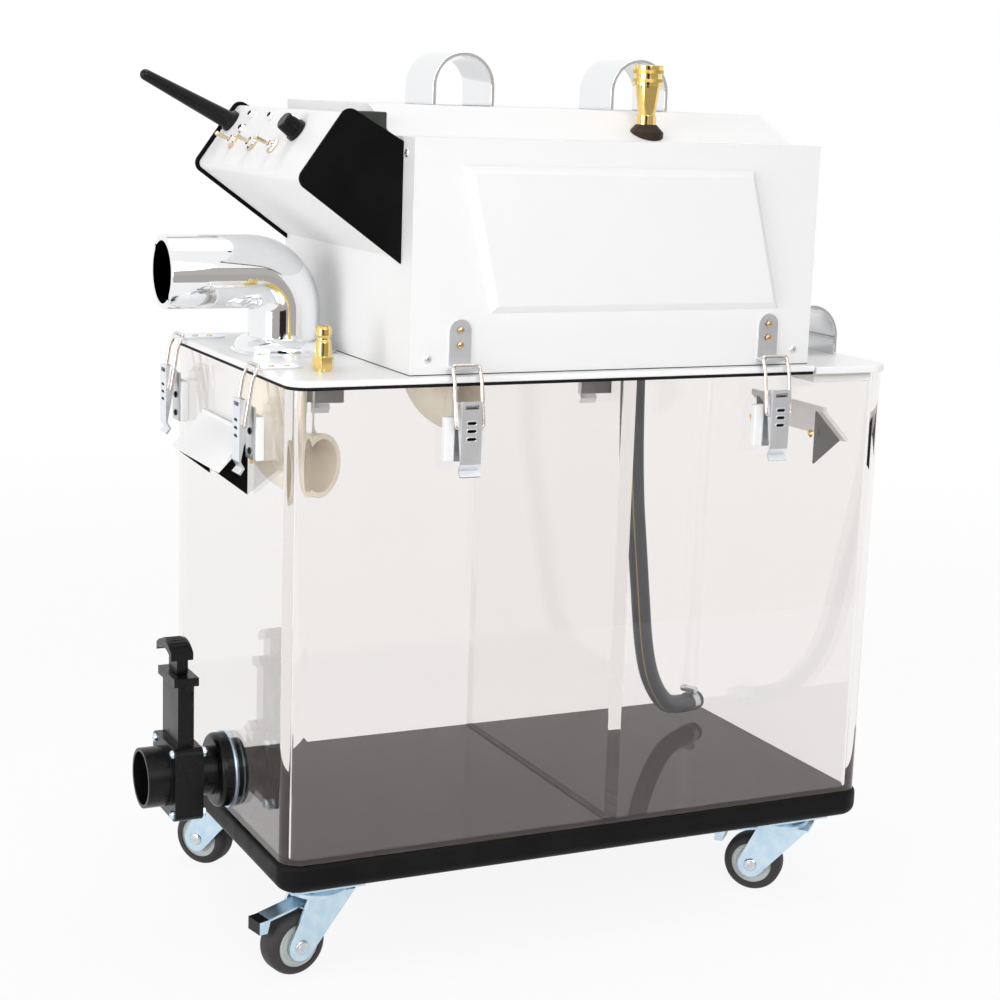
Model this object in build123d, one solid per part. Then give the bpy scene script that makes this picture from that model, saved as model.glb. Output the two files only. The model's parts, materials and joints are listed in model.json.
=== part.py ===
from build123d import *
import math
import os

# Portable carpet cleaning machine: a clear two-chamber tank on castors under a lift-off pump housing.
# Millimetres. +Z up, floor at 0, the hose end at -X, the front at -Y, origin under the middle of the box.

# Tank and base tray
tank_length = 520
tank_depth = 286
tank_height = 360
tank_wall = 10
tank_floor = 8
tank_corner = 16
divider_from_left = 274
divider_thickness = 12
tray_thickness = 23
tray_overhang = 2.5
tray_top_round = 4
tray_bottom_round = 9

# Lids
gasket_thickness = 2.5
lid_thickness = 5
lid_overhang = 1.5
lid_past_housing = 1
fill_lid_gap = 2
fill_lid_thickness = 6
fill_lip_depth = 8
fill_lip_wall = 4
fill_lip_clearance = 1.5

# Pump housing on the main lid
housing_from_left = 94
housing_from_right = 76
housing_setback = 8
housing_wall = 2
ledge_height = 173.5
ledge_depth = 44
slope_run = 47
crown_height = 195.5
louvre_count = 7
louvre_length = 52
louvre_width = 5
louvre_pitch = 13
louvre_height = 90

# Raised front cover, its corners measured from the housing's left and right walls and from the lid
cover_top_left = 37.7
cover_top_right = 60.3
cover_bottom_left = 63.5
cover_bottom_right = 31.1
cover_top = 154.5
cover_bottom = 45
cover_raise = 6

# Control console on the housing's left wall: reach out from the wall and height above the lid
lip_reach = 83.4
lip_height = 140.1
crest_reach = 44.4
crest_height = 194.8
console_back_height = 169.8
console_foot_height = 80.3
console_round = 8
console_wall = 2
console_front_gap = 20
console_rear_gap = 1
cheek_thickness = 3
cheek_proud = 3
wire_block_length = 30
wire_block_width = 21
wire_block_height = 190
wire_block_from_front = 53

# Console fittings: distance up the panel from its lip, and behind the housing's front face
toggle_up = 27.5
lamp_up = 54
fitting_from_front = 120
fitting_pitch = 47
toggle_count = 3
knob_up = 42.7
knob_from_front = 91
antenna_up = 46
antenna_from_front = 252
fuse_up = 40.4
bushing_radius = 3.6
bushing_bore = 2.6
bushing_height = 5
bushing_rim_radius = 5.6
bushing_rim_height = 1.5
bushing_taper_height = 0.5
toggle_ball = 2.5
toggle_pin_radius = 0.6
toggle_pin_clearance = 0.05
toggle_length = 15
toggle_stem_radius = 1.15
toggle_tip_radius = 1.9
toggle_throw = 24
lamp_radius = 3.4
lamp_height = 3.5
lamp_rim_radius = 4.4
lamp_rim_height = 1
lamp_top_radius = 2
knob_radius = 9
knob_height = 15
knob_skirt_height = 3
knob_slope_height = 0.6
knob_grip_radius = 7.8
knob_top_radius = 7
knob_face_radius = 6
knob_crown_height = 1
knob_flute_count = 14
knob_flute_radius = 0.9
knob_shaft_radius = 3
knob_bush_radius = 5
knob_bush_height = 4
knob_gap = 0.4
antenna_length = 85
antenna_elevation = 26.1
antenna_base_radius = 7.5
antenna_tip_radius = 4.5
antenna_ferrule_length = 22.5
antenna_step = 1.5
antenna_seat_radius = 10
antenna_seat_height = 5

# Handles on the housing and on the fill lid
handle_span = 54
handle_height = 42
handle_width = 56
handle_band = 3
carry_handle_from_left = 99
carry_handle_from_right = 91
carry_handle_from_front = 134
fill_handle_from_right = 33
fill_handle_from_front = 68

# Suction hose inlet, a steel elbow on a domed flange
inlet_from_left = 50
inlet_from_front = 158
inlet_outside = 57
inlet_bore = 50
inlet_bend = 30
inlet_axis_height = 63.8
inlet_reach = 99
inlet_flange = 84
inlet_flange_height = 15
inlet_flange_edge = 2.5
inlet_shoulder_width = 5
inlet_shoulder_height = 8.5
inlet_weld = 0.5

# Drop pipes under the lid
pipe_outside = 48
pipe_bore = 42
pipe_bend = 30
pipe_reach = 38
pipe_collar = 51
pipe_collar_length = 7
pipe_turn = -57
downpipe_drop = 81.5
intake_from_left = 172
intake_from_front = 150
intake_drop = 34.5

# Solution line: quick plug on the lid, quick coupler on the housing, hose down to the tank floor
plug_from_left = 42
plug_from_front = 49
plug_height = 33.5
plug_hex = 15
plug_hex_height = 9
plug_radius = 6
plug_groove = 4.8
plug_groove_start = 12
plug_groove_end = 7
plug_groove_slope = 1.5
plug_chamfer = 1.5
plug_chamfer_length = 2
plug_hex_lift = 2
plug_bore = 3.5
coupler_from_right = 203
coupler_from_front = 66
coupler_height = 51.6
coupler_base_radius = 7.8
coupler_base_height = 13
coupler_neck_radius = 6.6
coupler_flare_radius = 9.9
coupler_bore = 6.05
coupler_bore_depth = 30
coupler_channel = 3.5
coupler_mouth_set_back = 1.5
sleeve_radius = 11.8
sleeve_band_radius = 10.9
sleeve_height = 15.6
sleeve_ring = 4
sleeve_clearance = 0.05
boot_radius = 14
boot_top_radius = 8.2
boot_height = 6
hose_diameter = 17
hose_bore = 11
hose_heading = 24.33
hose_bend_share = 0.45
clamp_length = 9
clamp_wall = 1.6
clamp_clearance = 0.1
clamp_from_end = 6

# The hose's route, as distance along its heading and height, straight down and then along the tank floor
hose_route = (
    (0, 458.5),
    (0, 198.8),
    (16, 160.2),
    (45.6, 130.6),
    (84.2, 114.6),
    (122.4, 114.6),
)

# Drain gate valve on the tank's left wall
drain_height = 33
drain_reach = 70
drain_outside = 48.3
drain_bore = 34
drain_mouth_wall = 3
drain_mouth_stop = 2
drain_neck = 39
drain_wall_flange = 60
drain_wall_flange_thickness = 12
drain_wall_flange_round = 4
drain_spigot = 40
drain_spigot_clearance = 0.3
drain_nut = 48
drain_nut_thickness = 9
valve_near = 28
valve_far = 51
valve_width = 62
valve_low = 30
valve_high = 29.5
valve_corner = 6
hood_thickness = 13
hood_width = 42
hood_height = 48.5
hood_cap_thickness = 20
hood_cap_width = 45
hood_cap_height = 7
gate_thickness = 2.4
gate_width = 37
gate_clearance = 0.3
gate_travel = 36
gate_above_axis = 19
gate_head_room = 1
stem_radius = 5
stem_clearance = 0.1
stem_lap = 1
pull_neck_width = 22
pull_neck_thickness = 9
pull_neck_gap = 0.5
pull_height = 27
pull_length = 40
pull_overhang_out = 12
pull_overhang_in = 6
pull_thickness = 6
pull_arch = 7

# End grabs for lifting the tank: a bent sheet over two cheeks
grab_reach = 28.5
grab_length = 114
grab_sheet = 3.4
grab_flange_drop = 42
grab_tip_rise = 2.4
grab_top_drop = 46.5
grab_tip_drop = 73.5
grab_bottom_drop = 93
grab_cheek_reach = 26
grab_cheek_span = 96
grab_cheek = 3

# Draw latches: places along the walls, then the latch itself, measured from its crossbar outwards and up
latch_from_left = 134
latch_from_right = 116
latch_end_from_front = 70
latch_end_from_rear = 28
latch_front_bar = 8.5
latch_end_bar = 3.3
wire = 3
wire_gap = 0.3
bail_half = 11
bar_out = 4.5
pivot_out = 12.5
pivot_drop = 29
bail_pivot_out = 15
bail_pivot_drop = 45
bail_elbow_out = 9.5
bail_elbow_drop = 11
bail_bend = 2.4
pin_radius = 1.6
pin_clearance = 0.05
lever_width = 16.5
lever_sheet = 1.5
lever_plate_out = 16.7
lever_above_pivot = 4
lever_plate_end = 72
lever_foot_out = 18.5
lever_foot_end = 82
lever_heel_drop = 5
lever_lip_drop = 1
lever_slot_count = 3
lever_slot = 7
lever_slot_width = 2
lever_slot_pitch = 6
lever_slot_drop = 12
lever_eye_radius = 3
lever_window_width = 11
lever_window_height = 3.6
ear_radius = 3.5
ear_gap = 0.5
ear_foot_length = 11
sheet_lap = 0.2
base_sheet = 1.5
base_width = 18
base_top = 31
base_bottom = 71
base_screw_drops = (50, 65)
base_screw_radius = 1.7
spacer_thickness = 6
spacer_top = 38
spacer_width = 32
end_spacer_width = 24
keeper_width = 18
keeper_sheet = 1.5
keeper_height = 33
keeper_length = 34
keeper_tip_out = 8
keeper_rivet_radius = 1.6
wall_rivet_heights = (14, 25)
lid_rivet_reaches = (9, 21)
nose_thickness = 1.4
nose_height = 1.2

# Swivel castors
caster_height = 73
caster_inset_left = 38
caster_inset_right = 56
caster_inset_y = 32
caster_trail = 22
caster_names = ("front_left", "front_right", "rear_left", "rear_right")
caster_headings = (191.5, 134.6, 128.1, 200)
braked_casters = ("front_left", "front_right")
wheel_diameter = 50
wheel_width = 22
tyre_round = 7
hub_diameter = 35
hub_width = 19
hub_gap = 0.05
hub_boss_wall = 4
hub_boss_taper = 1
hub_dish = 3
hub_rim = 3
hub_rim_dish = 2
axle_radius = 4
axle_clearance = 0.05
axle_head = 2
fork_sheet = 2.5
fork_side_gap = 1.5
fork_boss_radius = 11
fork_front = 26
fork_back = 16
caster_plate = 2.5
caster_plate_length = 60
caster_plate_width = 50
race_radius = 22
race_foot_radius = 19
race_height = 7
swivel_gap = 0.4
kingpin_radius = 5
kingpin_clearance = 0.05
kingpin_nut_radius = 8
kingpin_nut_height = 4
pedal_pin_radius = 2
pedal_pin_out = 12
pedal_pin_drop = 6
pedal_barrel_radius = 4
pedal_width = 17
pedal_sheet = 2
pedal_end_out = 48
pedal_end_height = 49
pedal_tip_length = 8
pedal_tip_height = 11
pedal_tip_lap = 2
pedal_tip_slope = 1
pedal_clearance = 0.05

# Vacuum motor and solution pump inside the housing
motor_fan_radius = 62
motor_fan_height = 54
motor_body_radius = 43
motor_body_height = 62
motor_cap_radius = 30
motor_cap_height = 22
motor_inlet_radius = 20
motor_seam_half_width = 2
motor_seam_depth = 2
motor_shoulder_height = 4
motor_crown_height = 6
motor_crown_width = 10
pump_from_right = 139
pump_from_front = 180
pump_head_width = 56
pump_head_height = 62
pump_motor_radius = 24
pump_motor_length = 60
pump_head_round = 6
pump_foot_height = 6
pump_foot_inset = 6
pump_stand_length = 12
pump_motor_sink = 2
pump_port_depth = 28

# Power cord gland on the housing's rear wall
gland_from_right = 180
gland_height = 40
gland_hex = 26
gland_hex_height = 7
gland_neck_radius = 9.5
gland_length = 18
gland_taper_length = 5
gland_taper = 4
gland_bore = 4.5

# How far a cut runs on past the face it opens
overcut = 1

# Levels and faces that the pieces share
tray_top = caster_height + tray_thickness
tank_top = tray_top + tank_height
lid_base = tank_top + gasket_thickness
lid_top = lid_base + lid_thickness
left_x = -(tank_length + grab_reach - drain_reach) / 2
right_x = left_x + tank_length
middle_x = left_x + tank_length / 2
front_y = -tank_depth / 2
rear_y = tank_depth / 2
housing_left = left_x + housing_from_left
housing_right = right_x - housing_from_right
housing_length = housing_right - housing_left
housing_front = front_y + housing_setback
housing_rear = rear_y - housing_setback
crown_z = lid_top + crown_height
ledge_z = lid_top + ledge_height
lid_split = housing_right + lid_past_housing
inlet_x = left_x + inlet_from_left
inlet_y = front_y + inlet_from_front
intake_x = left_x + intake_from_left
intake_y = front_y + intake_from_front
pump_x = right_x - pump_from_right
pump_y = front_y + pump_from_front
drain_z = tray_top + drain_height
valve_middle = left_x - (valve_near + valve_far) / 2
console_front = housing_front + console_front_gap
console_rear = housing_rear - console_rear_gap
panel_lip = Vector(housing_left - lip_reach, 0, lid_top + lip_height)
panel_crest = Vector(housing_left - crest_reach, 0, lid_top + crest_height)
panel_up = (panel_crest - panel_lip).normalized()
panel_out = Vector(-panel_up.Z, 0, panel_up.X)


def block(x0, x1, y0, y1, z0, z1):
    centre = Pos((x0 + x1) / 2, (y0 + y1) / 2, (z0 + z1) / 2)
    return centre * Box(x1 - x0, y1 - y0, z1 - z0)


def polygon(*points):
    return make_face(Polyline(*points, close=True))


def turned(*points):
    return revolve(Plane.XZ * polygon(*points), Axis.Z)


def rod(start, end, radius):
    axis = Vector(*end) - Vector(*start)
    face = Plane(origin=start, z_dir=axis) * Circle(radius)
    return extrude(face, axis.length)


def along_y(face, y0, y1):
    return Pos(0, y0, 0) * extrude(Plane.XZ * face, y1 - y0, dir=(0, 1, 0))


def rounded_slab(grow, z0, z1):
    outline = RectangleRounded(tank_length + 2 * grow, tank_depth + 2 * grow, tank_corner + grow)
    return Pos(middle_x, 0, z0) * extrude(outline, z1 - z0)


def tube(points, bend, outside, bore, start_dir):
    path = FilletPolyline(*points, radius=bend)
    plane = Plane(origin=points[0], z_dir=start_dir)
    return sweep(plane * Circle(outside / 2), path) - sweep(plane * Circle(bore / 2), path)


def base_tray():
    tray = rounded_slab(tray_overhang, caster_height, tray_top)
    tray = fillet(tray.edges().group_by(Axis.Z)[0], tray_bottom_round)
    return fillet(tray.edges().group_by(Axis.Z)[-1], tray_top_round)


def drain_hole(radius, x0, x1):
    return rod((x0, 0, drain_z), (x1, 0, drain_z), radius)


def tank_floor_sheet():
    return rounded_slab(0, tray_top, tray_top + tank_floor)


def tank_walls():
    floor_top = tray_top + tank_floor
    walls = rounded_slab(0, floor_top, tank_top) - rounded_slab(-tank_wall, floor_top, tank_top)
    hole_radius = drain_spigot / 2 + drain_spigot_clearance
    return walls - drain_hole(hole_radius, left_x - overcut, left_x + tank_wall + overcut)


def tank_divider():
    x0 = left_x + divider_from_left
    inner = rear_y - tank_wall
    return block(x0, x0 + divider_thickness, -inner, inner, tray_top + tank_floor, tank_top)


def lid_outline(z0, z1):
    kept = block(left_x - tank_wall, lid_split, -tank_depth, tank_depth, z0, z1)
    return rounded_slab(lid_overhang, z0, z1) & kept


def lid_plate():
    plate = lid_outline(lid_base, lid_top)
    plate -= Pos(inlet_x, inlet_y, lid_base) * Cylinder(pipe_bore / 2, 4 * lid_thickness)
    plate -= Pos(intake_x, intake_y, lid_base) * Cylinder(motor_inlet_radius, 4 * lid_thickness)
    return plate - Pos(pump_x, pump_y, lid_base) * Cylinder(hose_bore / 2, 4 * lid_thickness)


def lid_gasket():
    inner = rear_y - tank_wall
    divider_left = left_x + divider_from_left
    divider_right = divider_left + divider_thickness
    seal = rounded_slab(0, tank_top, lid_base) & block(left_x, lid_split, front_y, rear_y, tank_top, lid_base)
    seal -= rounded_slab(-tank_wall, tank_top, lid_base)
    return seal + block(divider_left, divider_right, -inner, inner, tank_top, lid_base)


def housing_profile(grow, bottom):
    profile = polygon(
        (housing_front, bottom),
        (housing_front, ledge_z),
        (housing_front + ledge_depth, ledge_z),
        (housing_front + ledge_depth + slope_run, crown_z),
        (housing_rear, crown_z),
        (housing_rear, bottom),
    )
    return offset(profile, grow, kind=Kind.INTERSECTION) if grow else profile


def housing_block(inset, bottom):
    section = housing_profile(-inset, bottom)
    length = housing_length - 2 * inset
    return Pos(housing_left + inset, 0, 0) * extrude(Plane.YZ * section, length)


def housing_shell():
    shell = housing_block(0, lid_top)
    shell -= housing_block(housing_wall, lid_top - housing_wall)
    first = (housing_left + housing_right - (louvre_count - 1) * louvre_pitch) / 2
    slot = Plane.XZ * Rot(0, 0, 90) * SlotOverall(louvre_length, louvre_width)
    for index in range(louvre_count):
        place = Pos(first + index * louvre_pitch, housing_rear + overcut, lid_top + louvre_height)
        shell -= place * extrude(slot, housing_wall + 2 * overcut)
    return shell


def front_cover():
    outline = polygon(
        (housing_left + cover_top_left, lid_top + cover_top),
        (housing_right - cover_top_right, lid_top + cover_top),
        (housing_right - cover_bottom_right, lid_top + cover_bottom),
        (housing_left + cover_bottom_left, lid_top + cover_bottom),
    )
    return Pos(0, housing_front, 0) * extrude(Plane.XZ * outline, cover_raise, taper=45)


def console_outline(grow, past_wall):
    corners = polygon(
        (housing_left + past_wall, lid_top + console_foot_height - past_wall * foot_slope()),
        (panel_lip.X, panel_lip.Z),
        (panel_crest.X, panel_crest.Z),
        (housing_left + past_wall, lid_top + console_back_height - past_wall * back_slope()),
    )
    nose = corners.vertices().sort_by(Axis.X)[:2]
    rounded = fillet(nose, console_round)
    return offset(rounded, grow, kind=Kind.INTERSECTION) if grow else rounded


def foot_slope():
    return (lip_height - console_foot_height) / lip_reach


def back_slope():
    return (crest_height - console_back_height) / crest_reach


def console_solid(inset, y0, y1):
    reach = lip_reach
    body = along_y(console_outline(-inset, reach), y0, y1)
    return body & block(housing_left - 2 * reach, housing_left, y0, y1, lid_top, 2 * crown_z)


def console_shell():
    y0 = console_front + cheek_thickness
    y1 = console_rear - cheek_thickness
    inner = cheek_proud + console_wall
    return console_solid(cheek_proud, y0, y1) - console_solid(inner, y0, y1)


def console_cheeks():
    near = console_solid(0, console_front, console_front + cheek_thickness)
    far = console_solid(0, console_rear - cheek_thickness, console_rear)
    return [near, far]


def wire_block():
    y0 = housing_front + wire_block_from_front
    y1 = y0 + wire_block_length
    top = lid_top + wire_block_height
    low = lid_top + console_back_height - wire_block_width * back_slope()
    solid = block(housing_left - wire_block_width, housing_left, y0, y1, low, top)
    return solid - console_solid(cheek_proud, y0, y1)


def panel_place(up, from_front):
    point = panel_lip + panel_up * up - panel_out * cheek_proud
    y = housing_front + from_front
    return Plane(origin=(point.X, y, point.Z), x_dir=panel_up, z_dir=panel_out)


def fitting_place(index, up):
    return panel_place(up, fitting_from_front + index * fitting_pitch)


def toggle_bushing():
    bushing = turned(
        (bushing_bore, 0),
        (bushing_rim_radius, 0),
        (bushing_rim_radius, bushing_rim_height),
        (bushing_radius, bushing_rim_height + bushing_taper_height),
        (bushing_radius, bushing_height),
        (bushing_bore, bushing_height),
    )
    pin_start = (0, -bushing_radius, toggle_ball)
    pin_end = (0, bushing_radius, toggle_ball)
    return bushing + rod(pin_start, pin_end, toggle_pin_radius)


def panel_lamp():
    return turned(
        (0, 0),
        (lamp_rim_radius, 0),
        (lamp_rim_radius, lamp_rim_height),
        (lamp_radius, lamp_rim_height),
        (lamp_top_radius, lamp_height),
        (0, lamp_height),
    )


def panel_fittings():
    pieces = []
    bushing = toggle_bushing()
    lamp = panel_lamp()
    for index in range(toggle_count):
        pieces.append(fitting_place(index, toggle_up) * bushing)
        pieces.append(fitting_place(index, lamp_up) * lamp)
    pieces.append(fitting_place(toggle_count - 1, fuse_up) * lamp)
    collar = Cylinder(knob_bush_radius, knob_bush_height, align=(Align.CENTER, Align.CENTER, Align.MIN))
    collar -= Cylinder(knob_shaft_radius + axle_clearance, 3 * knob_bush_height)
    pieces.append(panel_place(knob_up, knob_from_front) * collar)
    return pieces


def toggle_lever(index):
    tip = toggle_length - toggle_tip_radius
    lever = Sphere(toggle_ball)
    lever += Pos(0, 0, tip / 2) * Cone(toggle_stem_radius, toggle_tip_radius, tip)
    lever += Pos(0, 0, tip) * Sphere(toggle_tip_radius)
    lever -= rod((0, -toggle_length, 0), (0, toggle_length, 0), toggle_pin_radius + toggle_pin_clearance)
    lean = Rot(0, -toggle_throw / 2, 0)
    return fitting_place(index, toggle_up) * Pos(0, 0, toggle_ball) * lean * lever


def speed_knob():
    under = knob_bush_height + knob_gap
    skirt_top = knob_gap + knob_skirt_height
    grip_low = skirt_top + knob_slope_height
    knob = turned(
        (0, under),
        (knob_bush_radius + knob_gap, under),
        (knob_bush_radius + knob_gap, knob_gap),
        (knob_radius, knob_gap),
        (knob_radius, skirt_top),
        (knob_grip_radius, grip_low),
        (knob_top_radius, knob_height - knob_crown_height),
        (knob_face_radius, knob_height),
        (0, knob_height),
    )
    flute_top = 2 * knob_height - grip_low
    flute = rod((knob_grip_radius, 0, grip_low), (knob_top_radius, 0, flute_top), knob_flute_radius)
    for index in range(knob_flute_count):
        knob -= Rot(0, 0, index * 360 / knob_flute_count) * flute
    knob += rod((0, 0, 0), (0, 0, under + knob_crown_height), knob_shaft_radius)
    return panel_place(knob_up, knob_from_front) * knob


def antenna():
    seat = panel_place(antenna_up, antenna_from_front)
    lean = math.radians(antenna_elevation)
    heading = Vector(-math.cos(lean), 0, math.sin(lean))
    straight = antenna_length - antenna_tip_radius
    whip = turned(
        (0, -antenna_base_radius),
        (antenna_base_radius, -antenna_base_radius),
        (antenna_base_radius, antenna_ferrule_length),
        (antenna_base_radius - antenna_step, antenna_ferrule_length + antenna_step),
        (antenna_tip_radius, straight),
        (0, straight),
    )
    whip += Pos(0, 0, straight) * Sphere(antenna_tip_radius)
    whip = Plane(origin=seat.origin, z_dir=heading) * whip
    base = Cylinder(antenna_seat_radius, antenna_seat_height, align=(Align.CENTER, Align.CENTER, Align.MIN))
    room = 4 * antenna_length
    above = Box(room, room, room, align=(Align.CENTER, Align.CENTER, Align.MIN))
    return seat * base + (whip & seat * above)


def arch_handle(x, y0, z):
    radius = handle_span / 2
    leg = handle_height - radius
    outer = Pos(0, leg) * Circle(radius) + Pos(0, leg / 2) * Rectangle(handle_span, leg)
    inner_radius = radius - handle_band
    inner = Pos(0, leg) * Circle(inner_radius) + Pos(0, leg / 2) * Rectangle(2 * inner_radius, leg)
    upper = Pos(0, handle_height / 2) * Rectangle(handle_span, handle_height)
    return Pos(x, 0, z) * along_y((outer - inner) & upper, y0, y0 + handle_width)


def carry_handles():
    y0 = housing_front + carry_handle_from_front
    centres = (housing_left + carry_handle_from_left, housing_right - carry_handle_from_right)
    return [arch_handle(centre, y0, crown_z) for centre in centres]


def fill_lid():
    top = tank_top + fill_lid_thickness
    x0 = lid_split + fill_lid_gap
    kept = block(x0, right_x + tank_wall, -tank_depth, tank_depth, tank_top, top)
    plate = rounded_slab(lid_overhang, tank_top, top) & kept
    inner_x = right_x - tank_wall - fill_lip_clearance
    inner_y = rear_y - tank_wall - fill_lip_clearance
    low = tank_top - fill_lip_depth
    wall = fill_lip_wall
    lip = block(x0 + wall, inner_x, -inner_y, inner_y, low, tank_top)
    lip -= block(x0 + 2 * wall, inner_x - wall, -inner_y + wall, inner_y - wall, low, tank_top)
    upright = lip.edges().filter_by(Axis.Z).sort_by(Axis.X)[-2:]
    return plate + fillet(upright, tank_corner - tank_wall)


def fill_lid_handle():
    x = right_x - fill_handle_from_right
    return arch_handle(x, front_y + fill_handle_from_front, tank_top + fill_lid_thickness)


def inlet_elbow():
    axis_z = lid_top + inlet_axis_height
    mouth = inlet_x - inlet_reach
    points = [(inlet_x, inlet_y, lid_top), (inlet_x, inlet_y, axis_z), (mouth, inlet_y, axis_z)]
    elbow = tube(points, inlet_bend, inlet_outside, inlet_bore, (0, 0, 1))
    outer = inlet_outside / 2 - inlet_weld
    rim = inlet_flange / 2
    edge = (rim, inlet_flange_edge)
    shoulder = (rim - inlet_shoulder_width, inlet_shoulder_height)
    dome = Polyline((outer, inlet_flange_height), (outer, 0), (rim, 0), edge)
    crown = ThreePointArc(edge, shoulder, (outer, inlet_flange_height))
    flange = revolve(Plane.XZ * make_face(dome + crown), Axis.Z)
    return elbow + Pos(inlet_x, inlet_y, lid_top) * flange


def drop_pipe(x, y, drop):
    turn = math.radians(pipe_turn)
    heading = Vector(math.cos(turn), math.sin(turn), 0)
    low = lid_base - drop
    corner = Vector(x, y, low)
    mouth = corner + heading * pipe_reach
    pipe = tube([(x, y, lid_base), corner, mouth], pipe_bend, pipe_outside, pipe_bore, (0, 0, -1))
    inside = mouth - heading * pipe_collar_length
    collar = rod(inside, mouth, pipe_collar / 2) - rod(inside, mouth, pipe_bore / 2)
    return pipe + collar


def drop_pipes():
    return [drop_pipe(inlet_x, inlet_y, downpipe_drop), drop_pipe(intake_x, intake_y, intake_drop)]


def quick_plug():
    top = plug_height
    stem = turned(
        (plug_bore, 0),
        (plug_radius, 0),
        (plug_radius, top - plug_groove_start),
        (plug_groove, top - plug_groove_start + plug_groove_slope),
        (plug_groove, top - plug_groove_end - plug_groove_slope),
        (plug_radius, top - plug_groove_end),
        (plug_radius, top - plug_chamfer_length),
        (plug_radius - plug_chamfer, top),
        (plug_bore, top),
    )
    hexagon = RegularPolygon(plug_hex / 2, 6, major_radius=False)
    nut = Pos(0, 0, plug_hex_lift) * extrude(hexagon, plug_hex_height)
    nut -= Cylinder(plug_bore, 4 * plug_height)
    return Pos(left_x + plug_from_left, front_y + plug_from_front, lid_top) * (stem + nut)


def slope_height(y):
    return ledge_z + (y - housing_front - ledge_depth) * (crown_z - ledge_z) / slope_run


def coupler_place():
    y = front_y + coupler_from_front
    return Pos(right_x - coupler_from_right, y, slope_height(y))


def coupler_boot():
    taper = Pos(0, 0, boot_height / 2) * Cone(boot_radius, boot_top_radius, boot_height)
    skirt = Cylinder(boot_radius, 2 * boot_height, align=(Align.CENTER, Align.CENTER, Align.MAX))
    boot = coupler_place() * (taper + skirt)
    boot -= housing_block(0, lid_top)
    return boot - coupler_place() * Cylinder(coupler_base_radius, 6 * boot_height)


def coupler_body():
    flare_top = coupler_height - sleeve_height
    mouth = coupler_height - coupler_mouth_set_back
    body = turned(
        (coupler_channel, -boot_height),
        (coupler_base_radius, -boot_height),
        (coupler_base_radius, coupler_base_height),
        (coupler_neck_radius, coupler_base_height),
        (coupler_flare_radius, flare_top),
        (coupler_flare_radius, mouth),
        (coupler_bore, mouth),
        (coupler_bore, mouth - coupler_bore_depth),
        (coupler_channel, mouth - coupler_bore_depth),
    )
    return coupler_place() * body - housing_block(0, lid_top)


def coupler_sleeve():
    low = coupler_height - sleeve_height
    bore = coupler_flare_radius + sleeve_clearance
    sleeve = turned(
        (bore, low),
        (sleeve_radius, low),
        (sleeve_radius, low + sleeve_ring),
        (sleeve_band_radius, low + sleeve_ring),
        (sleeve_band_radius, coupler_height - sleeve_ring),
        (sleeve_radius, coupler_height - sleeve_ring),
        (sleeve_radius, coupler_height),
        (bore, coupler_height),
    )
    return coupler_place() * sleeve


def hose_points():
    turn = math.radians(hose_heading)
    return [Vector(pump_x + s * math.cos(turn), pump_y + s * math.sin(turn), z) for s, z in hose_route]


def hose_radii(points):
    radii = []
    for before, corner, after in zip(points, points[1:], points[2:]):
        turn = math.radians((corner - before).get_angle(after - corner))
        shorter = min((corner - before).length, (after - corner).length)
        radii.append(hose_bend_share * shorter / math.tan(turn / 2))
    return radii


def suction_hose():
    points = hose_points()
    radii = hose_radii(points)
    path = FilletPolyline(*points, radius=radii)
    plane = Plane(origin=points[0], z_dir=(0, 0, -1))
    hose = sweep(plane * Circle(hose_diameter / 2), path) - sweep(plane * Circle(hose_bore / 2), path)
    section = math.pi * (hose_diameter ** 2 - hose_bore ** 2) / 4
    print("hose radii", [round(radius, 1) for radius in radii], "length", round(path.length, 1))
    print("hose volume over section times length", round(hose.volume / (section * path.length), 4))
    return hose


def hose_clamp():
    before, end = hose_points()[-2:]
    heading = (end - before).normalized()
    near = end - heading * (clamp_from_end + clamp_length)
    far = end - heading * clamp_from_end
    bore = hose_diameter / 2 + clamp_clearance
    return rod(near, far, bore + clamp_wall) - rod(near - heading, far + heading, bore)


def valve_slab(thickness, width, z0, z1):
    half = thickness / 2
    return block(valve_middle - half, valve_middle + half, -width / 2, width / 2, z0, z1)


def valve_disc(thickness, width):
    half = thickness / 2
    return drain_hole(width / 2, valve_middle - half, valve_middle + half)


def hood_cap_top():
    return drain_z + valve_high + hood_height + hood_cap_height


def drain_wall_ring():
    ring = drain_hole(drain_wall_flange / 2, left_x - drain_wall_flange_thickness, left_x)
    return fillet(ring.edges().group_by(Axis.X)[0], drain_wall_flange_round)


def valve_body():
    low = drain_z - valve_low
    high = drain_z + valve_high
    face = Pos(0, (low + high) / 2) * RectangleRounded(valve_width, high - low, valve_corner)
    return Pos(left_x - valve_far, 0, 0) * extrude(Plane.YZ * face, valve_far - valve_near)


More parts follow.
